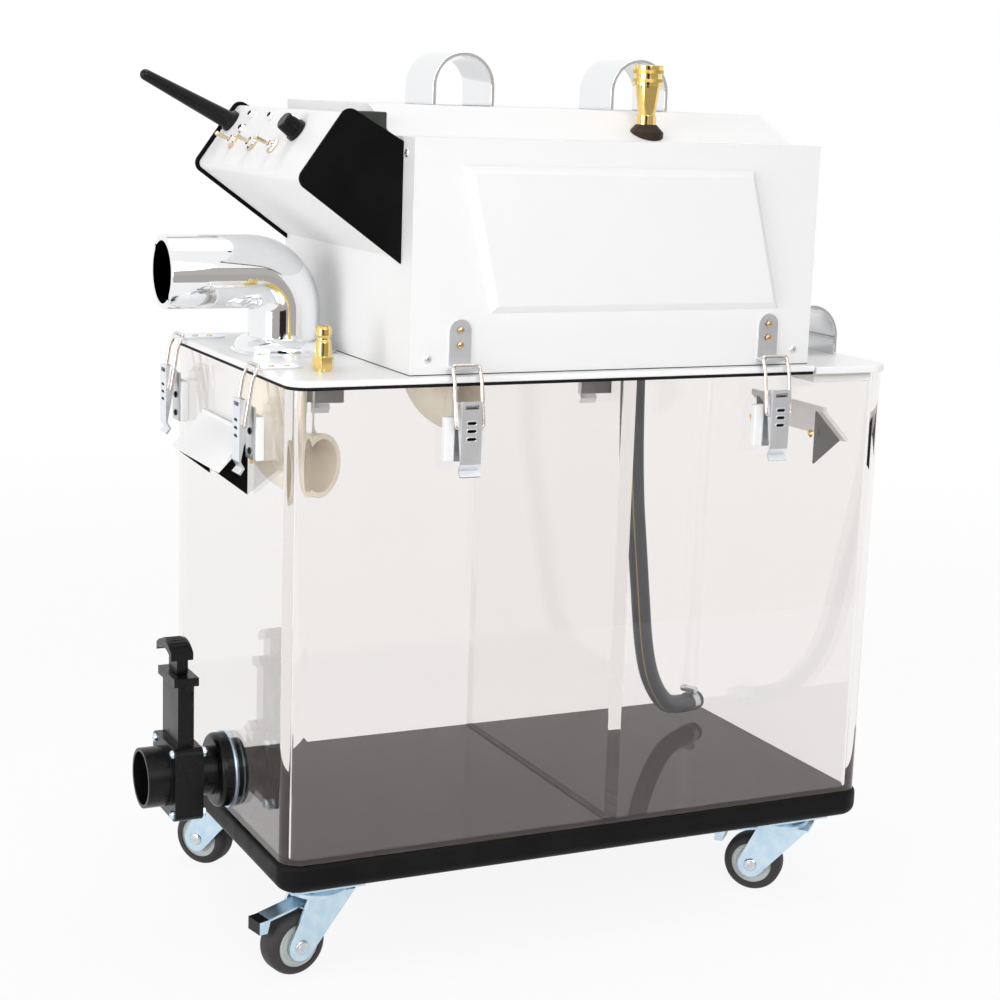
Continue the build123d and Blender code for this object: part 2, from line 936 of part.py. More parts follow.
def drain_valve():
    cap_top = hood_cap_top()
    cap_low = cap_top - hood_cap_height
    inside = left_x + tank_wall + drain_nut_thickness
    valve = valve_body()
    valve += valve_slab(hood_thickness, hood_width, drain_z + valve_high, cap_low)
    valve += valve_slab(hood_cap_thickness, hood_cap_width, cap_low, cap_top)
    valve += drain_hole(drain_outside / 2, left_x - drain_reach, left_x - valve_far)
    valve += drain_hole(drain_neck / 2, left_x - valve_near, left_x)
    valve += drain_wall_ring()
    valve += drain_hole(drain_spigot / 2, left_x, inside)
    valve -= drain_hole(drain_bore / 2, left_x - drain_reach - overcut, inside + overcut)
    mouth_bore = drain_outside / 2 - drain_mouth_wall
    valve -= drain_hole(mouth_bore, left_x - drain_reach - overcut, left_x - valve_far - drain_mouth_stop)
    slot_thickness = gate_thickness + 2 * gate_clearance
    slot_width = gate_width + 2 * gate_clearance
    slot_top = drain_z + gate_above_axis + gate_travel + gate_head_room
    valve -= valve_slab(slot_thickness, slot_width, drain_z, slot_top)
    valve -= valve_disc(slot_thickness, slot_width)
    stem_bore = stem_radius + stem_clearance
    return valve - rod((valve_middle, 0, drain_z), (valve_middle, 0, cap_top + overcut), stem_bore)


def drain_nut_ring():
    x0 = left_x + tank_wall
    nut = drain_hole(drain_nut / 2, x0, x0 + drain_nut_thickness)
    return nut - drain_hole(drain_spigot / 2, x0 - overcut, x0 + drain_nut_thickness + overcut)


def gate_pull():
    low = hood_cap_top() + pull_neck_gap
    top = hood_cap_top() + pull_height
    half = pull_length / 2
    end_top = top - pull_arch
    arch = ThreePointArc((-half, end_top), (0, top), (half, end_top))
    under = Pos(0, -pull_thickness) * arch
    end_low = end_top - pull_thickness
    ends = [Line((end, end_low), (end, end_top)) for end in (-half, half)]
    bar = make_face(Curve() + [arch, under] + ends)
    width = pull_overhang_out + pull_overhang_in
    pull = Pos(valve_middle - pull_overhang_out, 0, 0) * extrude(Plane.YZ * bar, width)
    return pull + valve_slab(pull_neck_thickness, pull_neck_width, low, top - pull_thickness + stem_lap)


def drain_gate():
    gate_top = drain_z + gate_above_axis
    gate = valve_slab(gate_thickness, gate_width, drain_z, gate_top) + valve_disc(gate_thickness, gate_width)
    stem_top = hood_cap_top() + pull_neck_gap + stem_lap
    gate += rod((valve_middle, 0, gate_top - stem_lap), (valve_middle, 0, stem_top), stem_radius)
    return gate + gate_pull()


def grab_pair(build):
    left = build()
    right = Pos(2 * middle_x, 0, 0) * mirror(left, Plane.YZ)
    return [left, right]


def grab_sheet_left():
    flange_top = tank_top - grab_flange_drop
    tip = tank_top - grab_tip_drop
    slope = (grab_tip_drop - grab_top_drop) / grab_cheek_reach
    fold = tip + grab_tip_rise + slope * (grab_reach - grab_sheet)
    sheet = polygon(
        (left_x, tank_top - grab_top_drop),
        (left_x, flange_top),
        (left_x - grab_sheet, flange_top),
        (left_x - grab_sheet, fold),
        (left_x - grab_reach, tip + grab_tip_rise),
        (left_x - grab_cheek_reach, tip),
    )
    return along_y(sheet, -grab_length / 2, grab_length / 2)


def end_grabs():
    return grab_pair(grab_sheet_left)


def grab_cheek_left(y0, y1):
    face = polygon(
        (left_x, tank_top - grab_bottom_drop),
        (left_x, tank_top - grab_top_drop),
        (left_x - grab_cheek_reach, tank_top - grab_tip_drop),
    )
    return along_y(face, y0, y1)


def grab_cheeks():
    half = grab_cheek_span / 2
    near = grab_pair(lambda: grab_cheek_left(-half, -half + grab_cheek))
    far = grab_pair(lambda: grab_cheek_left(half - grab_cheek, half))
    return near + far


def latch_places():
    front = lid_top + latch_front_bar
    end = lid_top + latch_end_bar
    places = {}
    for side, x in (("left", left_x + latch_from_left), ("right", right_x - latch_from_right)):
        places["front_" + side] = (Pos(x, front_y, front), False)
        places["rear_" + side] = (Pos(x, rear_y, front) * Rot(0, 0, 180), False)
    for side, y in (("front", front_y + latch_end_from_front), ("rear", rear_y - latch_end_from_rear)):
        places["end_" + side] = (Pos(left_x, y, end) * Rot(0, 0, -90), True)
    return places


def latch_sheet(face, u0, u1):
    profile = Plane(origin=(u0, 0, 0), x_dir=(0, -1, 0), z_dir=(-1, 0, 0)) * face
    return extrude(profile, u1 - u0, dir=(1, 0, 0))


def latch_block(u0, u1, out0, out1, z0, z1):
    return block(u0, u1, -out1, -out0, z0, z1)


def latch_rod(u0, u1, out, drop, radius):
    return rod((u0, -out, -drop), (u1, -out, -drop), radius)


def latch_base():
    back = spacer_thickness
    front = back + base_sheet
    plate = latch_block(-base_width / 2, base_width / 2, back, front, -base_bottom, -base_top)
    ear_outer = lever_width / 2 - lever_sheet - ear_gap
    knuckle = Pos(pivot_out, -pivot_drop) * Circle(ear_radius)
    foot = Line((front - sheet_lap, -base_top), (front - sheet_lap, -base_top - ear_foot_length))
    ear = make_hull(knuckle.edges() + foot.edges())
    for side in (-1, 1):
        outer = side * ear_outer
        inner = outer - side * base_sheet
        plate += latch_sheet(ear, min(inner, outer), max(inner, outer))
    for drop in base_screw_drops:
        plate -= rod((0, -back + overcut, -drop), (0, -front - overcut, -drop), base_screw_radius)
    half_pin = lever_width / 2
    return plate + latch_rod(-half_pin, half_pin, pivot_out, pivot_drop, pin_radius)


def latch_spacer(width):
    return latch_block(-width / 2, width / 2, 0, spacer_thickness, -base_bottom, -spacer_top)


def latch_lever():
    half = lever_width / 2
    inner = lever_plate_out
    outer = inner + lever_sheet
    top = -pivot_drop + lever_above_pivot
    lever = latch_block(-half, half, inner, outer, -lever_plate_end, top)
    slot = Plane.XZ * SlotOverall(lever_slot, lever_slot_width)
    for index in range(lever_slot_count):
        drop = pivot_drop + lever_slot_drop + index * lever_slot_pitch
        lever -= Pos(0, -inner + overcut, -drop) * extrude(slot, lever_sheet + 2 * overcut)
    half_window = lever_window_width / 2
    window_low = -pivot_drop - lever_window_height / 2
    window_high = window_low + lever_window_height
    lever -= latch_block(-half_window, half_window, inner - overcut, outer + overcut, window_low, window_high)
    heel = -lever_plate_end - lever_heel_drop
    foot = polygon(
        (inner, -lever_plate_end),
        (outer, -lever_plate_end),
        (inner - lever_sheet, heel),
        (lever_foot_out, -lever_foot_end + lever_lip_drop),
        (lever_foot_out - lever_sheet, -lever_foot_end),
        (inner - 2 * lever_sheet, heel),
    )
    lever += latch_sheet(foot, -half, half)
    edge = Line((inner + sheet_lap, top), (inner + sheet_lap, -lever_plate_end))
    pivots = (Pos(pivot_out, -pivot_drop) * Circle(ear_radius)).edges()
    pivots += (Pos(bail_pivot_out, -bail_pivot_drop) * Circle(lever_eye_radius)).edges()
    flange = make_hull(pivots + edge.edges())
    lever += latch_sheet(flange, -half, -half + lever_sheet)
    lever += latch_sheet(flange, half - lever_sheet, half)
    lever -= latch_rod(-2 * half, 2 * half, pivot_out, pivot_drop, pin_radius + pin_clearance)
    return lever - latch_rod(-2 * half, 2 * half, bail_pivot_out, bail_pivot_drop, wire / 2 + pin_clearance)


def latch_bail():
    stub = lever_width / 2 - lever_sheet
    right = [
        (stub, -bail_pivot_out, -bail_pivot_drop),
        (bail_half, -bail_pivot_out, -bail_pivot_drop),
        (bail_half, -bail_elbow_out, -bail_elbow_drop),
        (bail_half, -bar_out, 0),
    ]
    left = [(-x, y, z) for x, y, z in reversed(right)]
    path = FilletPolyline(*right, *left, radius=bail_bend)
    return sweep(Plane(origin=right[0], z_dir=(1, 0, 0)) * Circle(wire / 2), path)


def latch_nose(shelf_top):
    half = keeper_width / 2
    back = keeper_tip_out - nose_thickness
    return latch_block(-half, half, back, keeper_tip_out, shelf_top, shelf_top + nose_height)


def wall_keeper():
    half = keeper_width / 2
    shelf_top = -wire / 2 - wire_gap
    shelf_low = shelf_top - keeper_sheet
    back = -housing_setback
    straight = keeper_height - half
    keeper = latch_block(-half, half, back, keeper_tip_out, shelf_low, shelf_top)
    keeper += latch_block(-half, half, back, back + keeper_sheet, shelf_low, straight)
    keeper += rod((0, -back, straight), (0, -back - keeper_sheet, straight), half)
    inside = -back + overcut
    outside = -back - keeper_sheet - overcut
    for height in wall_rivet_heights:
        keeper -= rod((0, inside, height), (0, outside, height), keeper_rivet_radius)
    return keeper + latch_nose(shelf_top)


def lid_keeper():
    half = keeper_width / 2
    shelf_top = -wire / 2 - wire_gap
    shelf_low = shelf_top - keeper_sheet
    straight = keeper_length - half
    keeper = latch_block(-half, half, -straight, keeper_tip_out, shelf_low, shelf_top)
    keeper += rod((0, straight, shelf_low), (0, straight, shelf_top), half)
    for reach in lid_rivet_reaches:
        keeper -= rod((0, reach, shelf_low - overcut), (0, reach, shelf_top + overcut), keeper_rivet_radius)
    return keeper + latch_nose(shelf_top)


def caster_places():
    xs = (left_x + caster_inset_left, right_x - caster_inset_right)
    y = rear_y - caster_inset_y
    spots = ((xs[0], -y), (xs[1], -y), (xs[0], y), (xs[1], y))
    return {
        name: Pos(x, y, 0) * Rot(0, 0, heading)
        for name, (x, y), heading in zip(caster_names, spots, caster_headings)
    }


def crown_levels():
    top = caster_height - caster_plate - race_height - swivel_gap
    return top - fork_sheet, top


def caster_plate_set():
    plate_low = caster_height - caster_plate
    race_low = plate_low - race_height
    half_length = caster_plate_length / 2
    half_width = caster_plate_width / 2
    plate = block(-half_length, half_length, -half_width, half_width, plate_low, caster_height)
    race = turned((0, plate_low), (0, race_low), (race_foot_radius, race_low), (race_radius, plate_low))
    nut_top = crown_levels()[0] - swivel_gap
    pin = rod((0, 0, nut_top), (0, 0, plate_low), kingpin_radius)
    nut = rod((0, 0, nut_top - kingpin_nut_height), (0, 0, nut_top), kingpin_nut_radius)
    return plate + race + pin + nut


def caster_plates():
    set_solid = caster_plate_set()
    pieces = []
    for place in caster_places().values():
        pieces.append(Pos(place.position.X, place.position.Y, 0) * set_solid)
    return pieces


def pedal_pin_height():
    return crown_levels()[0] - pedal_pin_drop


def caster_fork(braked):
    low, high = crown_levels()
    axle_z = wheel_diameter / 2
    inside = wheel_width / 2 + fork_side_gap
    outside = inside + fork_sheet
    boss = Pos(caster_trail, axle_z) * Circle(fork_boss_radius)
    shoulder = Line((-fork_front, high), (fork_back, high))
    leg = make_hull(boss.edges() + shoulder.edges())
    fork = along_y(leg, -outside, -inside) + along_y(leg, inside, outside)
    crown = block(-fork_front, fork_back, -inside, inside, low, high)
    fork += crown + rod((0, 0, low), (0, 0, high), outside)
    fork -= rod((0, 0, low - overcut), (0, 0, high + overcut), kingpin_radius + kingpin_clearance)
    axle_end = outside + axle_head
    fork += rod((caster_trail, -axle_end, axle_z), (caster_trail, axle_end, axle_z), axle_radius)
    if braked:
        z = pedal_pin_height()
        fork += rod((pedal_pin_out, -outside, z), (pedal_pin_out, outside, z), pedal_pin_radius)
    return fork


def caster_wheel():
    radius = wheel_diameter / 2
    half = wheel_width / 2
    hub_radius = hub_diameter / 2
    section = Pos((radius + hub_radius) / 2, 0) * Rectangle(radius - hub_radius, wheel_width)
    section = fillet(section.vertices().sort_by(Axis.X)[-2:], tyre_round)
    tyre = revolve(Plane.XZ * section, Axis.Z)
    bore = axle_radius + axle_clearance
    half_hub = hub_width / 2
    rim = hub_radius - hub_gap
    boss = bore + hub_boss_wall
    hub = turned(
        (bore, -half),
        (boss, -half),
        (boss + hub_boss_taper, -half_hub + hub_dish),
        (rim - hub_rim, -half_hub + hub_rim_dish),
        (rim, -half_hub),
        (rim, half_hub),
        (rim - hub_rim, half_hub - hub_rim_dish),
        (boss + hub_boss_taper, half_hub - hub_dish),
        (boss, half),
        (bore, half),
    )
    turn = Pos(caster_trail, 0, radius) * Rot(90, 0, 0)
    return [turn * tyre, turn * hub]


def brake_pedal():
    z = pedal_pin_height()
    half = pedal_width / 2
    strip = polygon(
        (pedal_pin_out, z + pedal_barrel_radius - pedal_sheet),
        (pedal_pin_out, z + pedal_barrel_radius),
        (pedal_end_out, pedal_end_height + pedal_sheet),
        (pedal_end_out, pedal_end_height),
    )
    pedal = along_y(strip, -half, half)
    pedal += rod((pedal_pin_out, -half, z), (pedal_pin_out, half, z), pedal_barrel_radius)
    tip_top = pedal_end_height + pedal_sheet
    tip = polygon(
        (pedal_end_out - pedal_tip_lap, tip_top),
        (pedal_end_out + pedal_tip_length, tip_top - pedal_tip_slope),
        (pedal_end_out + pedal_tip_length, tip_top - pedal_tip_height),
        (pedal_end_out + pedal_tip_slope, tip_top - pedal_tip_height),
    )
    pedal += along_y(tip, -half, half)
    bore = pedal_pin_radius + pedal_clearance
    return pedal - rod((pedal_pin_out, -pedal_width, z), (pedal_pin_out, pedal_width, z), bore)


def vacuum_motor():
    fan_top = motor_fan_height
    body_top = fan_top + motor_body_height
    cap_top = body_top + motor_cap_height
    waist = motor_fan_height / 2
    seam_low = waist - motor_seam_half_width
    seam_high = waist + motor_seam_half_width
    motor = turned(
        (motor_inlet_radius, 0),
        (motor_fan_radius, 0),
        (motor_fan_radius, seam_low),
        (motor_fan_radius - motor_seam_depth, seam_low),
        (motor_fan_radius - motor_seam_depth, seam_high),
        (motor_fan_radius, seam_high),
        (motor_fan_radius, fan_top),
        (motor_body_radius, fan_top + motor_shoulder_height),
        (motor_body_radius, body_top),
        (motor_cap_radius, body_top + motor_shoulder_height),
        (motor_cap_radius, cap_top - motor_crown_height),
        (motor_cap_radius - motor_crown_width, cap_top),
        (0, cap_top),
        (0, waist),
        (motor_inlet_radius, waist),
    )
    return Pos(intake_x, intake_y, lid_top) * motor


def water_pump():
    x, y = pump_x, pump_y
    half = pump_head_width / 2
    head = block(x - half, x + half, y - half, y + half, lid_top, lid_top + pump_head_height)
    head = fillet(head.edges().filter_by(Axis.Z), pump_head_round)
    foot_top = lid_top + pump_foot_height
    axis_z = foot_top + pump_motor_radius - pump_motor_sink
    motor_end = x - half - pump_motor_length
    pump = head + rod((motor_end, y, axis_z), (x, y, axis_z), pump_motor_radius)
    foot_end = motor_end + pump_foot_inset
    half_foot = half - pump_foot_inset
    half_stand = pump_stand_length / 2
    pump += block(foot_end, x, y - half_foot, y + half_foot, lid_top, foot_top)
    pump += block(foot_end, foot_end + pump_stand_length, y - half_stand, y + half_stand, lid_top, axis_z)
    return pump - rod((x, y, lid_top), (x, y, lid_top + pump_port_depth), hose_bore / 2)


def cord_gland():
    hexagon = extrude(RegularPolygon(gland_hex / 2, 6, major_radius=False), gland_hex_height)
    neck = turned(
        (0, 0),
        (gland_neck_radius, 0),
        (gland_neck_radius, gland_length - gland_taper_length),
        (gland_neck_radius - gland_taper, gland_length),
        (0, gland_length),
    )
    gland = hexagon + neck - Cylinder(gland_bore, 4 * gland_length)
    seat = Plane(origin=(right_x - gland_from_right, housing_rear, lid_top + gland_height), z_dir=(0, 1, 0))
    return seat * gland


def save(name, solids):
    pieces = solids if isinstance(solids, list) else [solids]
    whole = pieces[0] if len(pieces) == 1 else Compound(children=pieces)
    export_step(whole, f"parts/{name}.step")


def save_fixed_parts():
    save("base_tray", base_tray())
    save("tank_shell", [tank_floor_sheet(), tank_walls()])
    save("tank_divider", tank_divider())
    save("end_grabs", end_grabs())
    save("grab_cheeks", grab_cheeks())
    save("caster_plates", caster_plates())
    save("drain_valve", [drain_valve(), drain_nut_ring()])
    save("fill_lid", fill_lid())
    save("fill_lid_handle", fill_lid_handle())
    save("lid_plate", lid_plate())
    save("lid_gasket", lid_gasket())
    save("housing_shell", housing_shell())
    save("front_cover", front_cover())
    save("console_shell", console_shell())
    save("console_cheeks", console_cheeks())
    save("panel_fittings", panel_fittings())
    save("antenna", antenna())
    save("wire_block", wire_block())
    save("carry_handles", carry_handles())
    save("inlet_elbow", inlet_elbow())
    save("drop_pipes", drop_pipes())
    save("quick_plug", quick_plug())
    save("coupler_boot", coupler_boot())
    save("coupler_body", coupler_body())
    save("suction_hose", suction_hose())
    save("hose_clamp", hose_clamp())
    save("vacuum_motor", vacuum_motor())
    save("water_pump", water_pump())
    save("cord_gland", cord_gland())


def save_moving_parts():
    save("drain_gate", drain_gate())
    save("coupler_sleeve", coupler_sleeve())
    save("speed_knob", speed_knob())
    for index in range(toggle_count):
        save(f"toggle_lever_{index + 1}", toggle_lever(index))
    wheel = caster_wheel()
    for name, place in caster_places().items():
        braked = name in braked_casters
        save(f"caster_fork_{name}", place * caster_fork(braked))
        save(f"caster_wheel_{name}", [place * piece for piece in wheel])
        if braked:
            save(f"brake_pedal_{name}", place * brake_pedal())


def save_latches():
    base = latch_base()
    lever = latch_lever()
    bail = latch_bail()
    bases = []
    spacers = []
    keepers = []
    for name, (place, on_lid) in latch_places().items():
        bases.append(place * base)
        spacers.append(place * latch_spacer(end_spacer_width if on_lid else spacer_width))
        keepers.append(place * (lid_keeper() if on_lid else wall_keeper()))
        save(f"latch_lever_{name}", place * lever)
        save(f"latch_bail_{name}", place * bail)
    save("latch_bases", bases)
    save("latch_spacers", spacers)
    save("latch_keepers", keepers)


def main():
    os.makedirs("parts", exist_ok=True)
    save_fixed_parts()
    save_moving_parts()
    save_latches()


if __name__ == "__main__":
    main()
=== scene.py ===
import bmesh
import bpy
import json
import math
from mathutils import Matrix, Vector


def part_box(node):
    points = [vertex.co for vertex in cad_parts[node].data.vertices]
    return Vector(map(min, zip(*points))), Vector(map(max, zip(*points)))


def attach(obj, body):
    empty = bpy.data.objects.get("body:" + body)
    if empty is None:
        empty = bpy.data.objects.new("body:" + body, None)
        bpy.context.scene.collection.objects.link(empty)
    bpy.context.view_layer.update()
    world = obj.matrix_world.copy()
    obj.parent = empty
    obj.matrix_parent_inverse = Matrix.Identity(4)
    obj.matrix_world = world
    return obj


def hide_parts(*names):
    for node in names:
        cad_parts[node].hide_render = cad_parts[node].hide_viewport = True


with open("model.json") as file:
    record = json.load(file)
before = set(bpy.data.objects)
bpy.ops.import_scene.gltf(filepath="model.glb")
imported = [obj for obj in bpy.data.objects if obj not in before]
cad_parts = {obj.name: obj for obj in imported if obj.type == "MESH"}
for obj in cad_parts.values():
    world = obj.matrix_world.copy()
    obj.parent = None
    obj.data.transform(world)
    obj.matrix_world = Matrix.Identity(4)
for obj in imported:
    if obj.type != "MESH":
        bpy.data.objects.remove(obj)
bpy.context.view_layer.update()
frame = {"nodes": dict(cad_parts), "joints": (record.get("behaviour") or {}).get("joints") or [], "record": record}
scene = bpy.context.scene
joints = {joint["name"]: joint for joint in frame["joints"]}
mounts = {mount["name"]: mount for mount in frame["record"]["mounts"]}
print("frame loaded", len(frame["nodes"]), "nodes")

# The camera stands where the photograph was taken from
photoCamera = {"lens": 73.79, "sensor": 36.0, "place": (-0.73895, -1.5104, 0.6712), "yaw": -26.024,
               "tilt": 78.734, "roll": 1.98}


def turned(degrees, axis):
    return Matrix.Rotation(math.radians(degrees), 4, axis)


def placeCamera(setup):
    data = bpy.data.cameras.new("photoCamera")
    data.lens = setup["lens"]
    data.sensor_width = setup["sensor"]
    camera = bpy.data.objects.new("photoCamera", data)
    turn = turned(setup["yaw"], "Z") @ turned(setup["tilt"], "X") @ turned(setup["roll"], "Z")
    camera.matrix_world = Matrix.Translation(setup["place"]) @ turn
    scene.collection.objects.link(camera)
    scene.camera = camera


placeCamera(photoCamera)


# Small bmesh helpers that the pieces share
def boxBetween(bm, low, high):
    size = Vector(high) - Vector(low)
    place = Matrix.Translation((Vector(low) + Vector(high)) / 2) @ Matrix.Diagonal((*size, 1))
    return bmesh.ops.create_cube(bm, size=1, matrix=place)["verts"]


def bevelEdges(bm, edges, width, segments, clamp=False):
    bmesh.ops.bevel(bm, geom=edges, offset=width, segments=segments, profile=0.5, affect="EDGES",
                    material=-1, clamp_overlap=clamp)


def uprightEdges(bm):
    return [e for e in bm.edges if abs((e.verts[0].co - e.verts[1].co).normalized().z) > 0.99]


def levelEdges(bm, height, reach=1e-5):
    return [e for e in bm.edges if all(abs(v.co.z - height) < reach for v in e.verts)]


def arc(centre, radius, start, end, count):
    angles = [math.radians(start + (end - start) * step / count) for step in range(count + 1)]
    return [(centre[0] + radius * math.cos(a), centre[1] + radius * math.sin(a)) for a in angles]


def placeOn(point, direction):
    return Matrix.Translation(point) @ Vector(direction).to_track_quat("Z", "Y").to_matrix().to_4x4()


def added(bm, build, place=None, paint=0):
    known = set(bm.verts)
    build(bm)
    fresh = [v for v in bm.verts if v not in known]
    if place is not None:
        bmesh.ops.transform(bm, matrix=place, verts=fresh)
    for face in {f for v in fresh for f in v.link_faces}:
        face.material_index = paint


def spinProfile(bm, profile, steps=48, closed=False):
    known = set(bm.verts)
    verts = [bm.verts.new((radius, 0, height)) for radius, height in profile]
    edges = [bm.edges.new(pair) for pair in zip(verts, verts[1:])]
    if closed:
        edges.append(bm.edges.new((verts[-1], verts[0])))
    bmesh.ops.spin(bm, geom=verts + edges, cent=(0, 0, 0), axis=(0, 0, 1), angle=2 * math.pi, steps=steps,
                   use_merge=True)
    fresh = [v for v in bm.verts if v not in known]
    bmesh.ops.remove_doubles(bm, verts=fresh, dist=1e-7)
    fresh = [v for v in bm.verts if v not in known]
    bmesh.ops.recalc_face_normals(bm, faces=list({f for v in fresh for f in v.link_faces}))


def spunPart(bm, profile, place=None, paint=0, steps=48, closed=False):
    added(bm, lambda b: spinProfile(b, profile, steps, closed), place, paint)


def bevelledBox(bm, low, high, width, segments=2, place=None, paint=0):
    def build(b):
        verts = boxBetween(b, low, high)
        bevelEdges(b, list({e for v in verts for e in v.link_edges}), width, segments)
    added(bm, build, place, paint)


def joined(bm, part, place):
    bmesh.ops.transform(part, matrix=place, verts=part.verts)
    spare = bpy.data.meshes.new("spare")
    part.to_mesh(spare)
    part.free()
    bm.from_mesh(spare)
    bpy.data.meshes.remove(spare)


# Small fixings, mostly as shares of their own radius, height or rim
headShape = {"steps": 6, "sides": 20}
slotShape = {"turns": (20, 110), "reach": 0.55, "half": 0.11, "top": 1.03, "edge": 0.00004}
nutShape = {"sides": 6, "chamfer": 0.12}
rimShape = {"round": 0.49, "segments": 6, "slope": 0.35, "rise": 0.25, "flat": 0.65, "wall": 0.05, "depth": 0.9}


def domeHead(bm, place, radius, height, paint=0, sink=0.0004):
    steps = headShape["steps"]
    angles = [math.radians(90 * step / steps) for step in range(steps + 1)]
    profile = [(radius * math.sin(a), height * math.cos(a)) for a in angles]
    spunPart(bm, profile + [(radius, -sink), (0, -sink)], place, paint, headShape["sides"])


def crossScrew(bm, place, radius, height, paint, recessShadePaint):
    domeHead(bm, place, radius, height, paint)
    reach = slotShape["reach"] * radius
    half = slotShape["half"] * radius
    # the cross recess is two thin bars standing a hair above the dome in a darker finish: painted shade for the
    # recess
    for turn in slotShape["turns"]:
        high = (reach, half, slotShape["top"] * height)
        bevelledBox(bm, (-reach, -half, 0), high, slotShape["edge"], 1, place @ turned(turn, "Z"), recessShadePaint)


def hexNut(bm, place, radius, bore, height, paint=0):
    edge = nutShape["chamfer"] * radius
    profile = [(bore, 0), (radius, 0), (radius, height - edge), (radius - edge, height), (bore, height)]
    spunPart(bm, profile, place, paint, nutShape["sides"], True)


def ovalRim(bm, place, length, width, height, rim, paint, slotShadePaint):
    part = bmesh.new()
    boxBetween(part, (-length / 2, -width / 2, 0), (length / 2, width / 2, height))
    bevelEdges(part, uprightEdges(part), rimShape["round"] * width, rimShape["segments"])
    part.normal_update()
    top = max(part.faces, key=lambda face: face.calc_center_median().z)
    steps = [(rimShape["slope"] * rim, rimShape["rise"] * rim), (rimShape["flat"] * rim, 0),
             (rimShape["wall"] * rim, -rimShape["depth"] * height)]
    for inset, rise in steps:
        bmesh.ops.inset_region(part, faces=[top], thickness=inset, depth=rise, use_even_offset=True)
    for face in part.faces:
        face.material_index = paint
    # the sunk face inside the rim takes a dark finish: painted shade in the slot
    top.material_index = slotShadePaint
    joined(bm, part, place)


def ringEdges(loop):
    inside = set(loop)
    return {e for v in loop for e in v.link_edges if e.other_vert(v) in inside}


def bridge(bm, near, far):
    bmesh.ops.bridge_loops(bm, edges=list(ringEdges(near) | ringEdges(far)))


def tubeAlong(bm, points, radius, sides, ring=None):
    loops = []
    turn = None
    for index, point in enumerate(points):
        ahead = points[min(index + 1, len(points) - 1)] - points[max(index - 1, 0)]
        if turn is None:
            turn = ahead.to_track_quat("Z", "Y")
        else:
            turn = (turn @ Vector((0, 0, 1))).rotation_difference(ahead) @ turn
        place = Matrix.Translation(point) @ turn.to_matrix().to_4x4()
        loop = bmesh.ops.create_circle(bm, segments=sides, radius=radius, matrix=place)["verts"]
        if ring is not None:
            for number, vert in enumerate(loop):
                vert[ring] = number / sides
        loops.append(loop)
    for near, far in zip(loops, loops[1:]):
        bridge(bm, near, far)
    return loops


# A CAD solid with its crisp edges rounded
softening = {"weld": 2e-6, "flat": 0.5, "crisp": 25, "segments": 2}


def softCopy(node, width):
    bm = bmesh.new()
    bm.from_mesh(frame["nodes"][node].data)
    bmesh.ops.remove_doubles(bm, verts=bm.verts, dist=softening["weld"])
    bmesh.ops.dissolve_limit(bm, angle_limit=math.radians(softening["flat"]), verts=bm.verts, edges=bm.edges)
    least = math.radians(softening["crisp"])
    crisp = [e for e in bm.edges if e.is_manifold and e.calc_face_angle() > least]
    bevelEdges(bm, crisp, width, softening["segments"], clamp=True)
    return bm


def meshObject(name, bm):
    mesh = bpy.data.meshes.new(name)
    bm.to_mesh(mesh)
    bm.free()
    thing = bpy.data.objects.new(name, mesh)
    scene.collection.objects.link(thing)
    return thing


def finishPiece(name, bm, body, slot, finishes, stands, smooth=40, flat=True):
    piece = meshObject(name, bm)
    mesh = piece.data
    for finish in finishes:
        mesh.materials.append(finish)
    mesh.shade_smooth()
    mesh.set_sharp_from_angle(angle=math.radians(smooth))
    if flat:
        weighted = piece.modifiers.new("flatFaces", "WEIGHTED_NORMAL")
        weighted.keep_sharp = True
        weighted.weight = 100
    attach(piece, body)
    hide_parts(*stands)
    return piece


def camelName(node):
    first, *rest = node.split("_")
    return first + "".join(word.capitalize() for word in rest)


def finishNode(node, bm, body, slot, finishes, **ways):
    return finishPiece(camelName(node), bm, body, slot, finishes, [node], **ways)


# Node helpers
def newMaterial(name):
    material = bpy.data.materials.new(name)
    material.use_nodes = True
    return material, material.node_tree.nodes, material.node_tree.links.new


def setInputs(node, values):
    for label, value in values.items():
        node.inputs[label].default_value = value


def groupNode(nodes, group, values):
    node = nodes.new("ShaderNodeGroup")
    node.node_tree = group
    setInputs(node, values)
    return node


def mathNode(nodes, operation, second=0.5):
    node = nodes.new("ShaderNodeMath")
    node.operation = operation
    node.inputs[1].default_value = second
    return node


def noiseNode(nodes, detail):
    node = nodes.new("ShaderNodeTexNoise")
    node.inputs["Detail"].default_value = detail
    return node


def rangeNode(nodes, low, high):
    node = nodes.new("ShaderNodeMapRange")
    setInputs(node, {"From Min": low, "From Max": high})
    return node


def colourMix(nodes):
    node = nodes.new("ShaderNodeMix")
    node.data_type = "RGBA"
    return node


# Shader groups: fine grain, slow drift of a colour, and brushed lines
def newGroup(name, inputs, outputs):
    group = bpy.data.node_groups.new(name, "ShaderNodeTree")
    for label, kind, value in inputs:
        socket = group.interface.new_socket(name=label, in_out="INPUT", socket_type=f"NodeSocket{kind}")
        if value is not None:
            socket.default_value = value
    for label, kind in outputs:
        group.interface.new_socket(name=label, in_out="OUTPUT", socket_type=f"NodeSocket{kind}")
    entry = group.nodes.new("NodeGroupInput")
    leave = group.nodes.new("NodeGroupOutput")
    return group, entry, leave


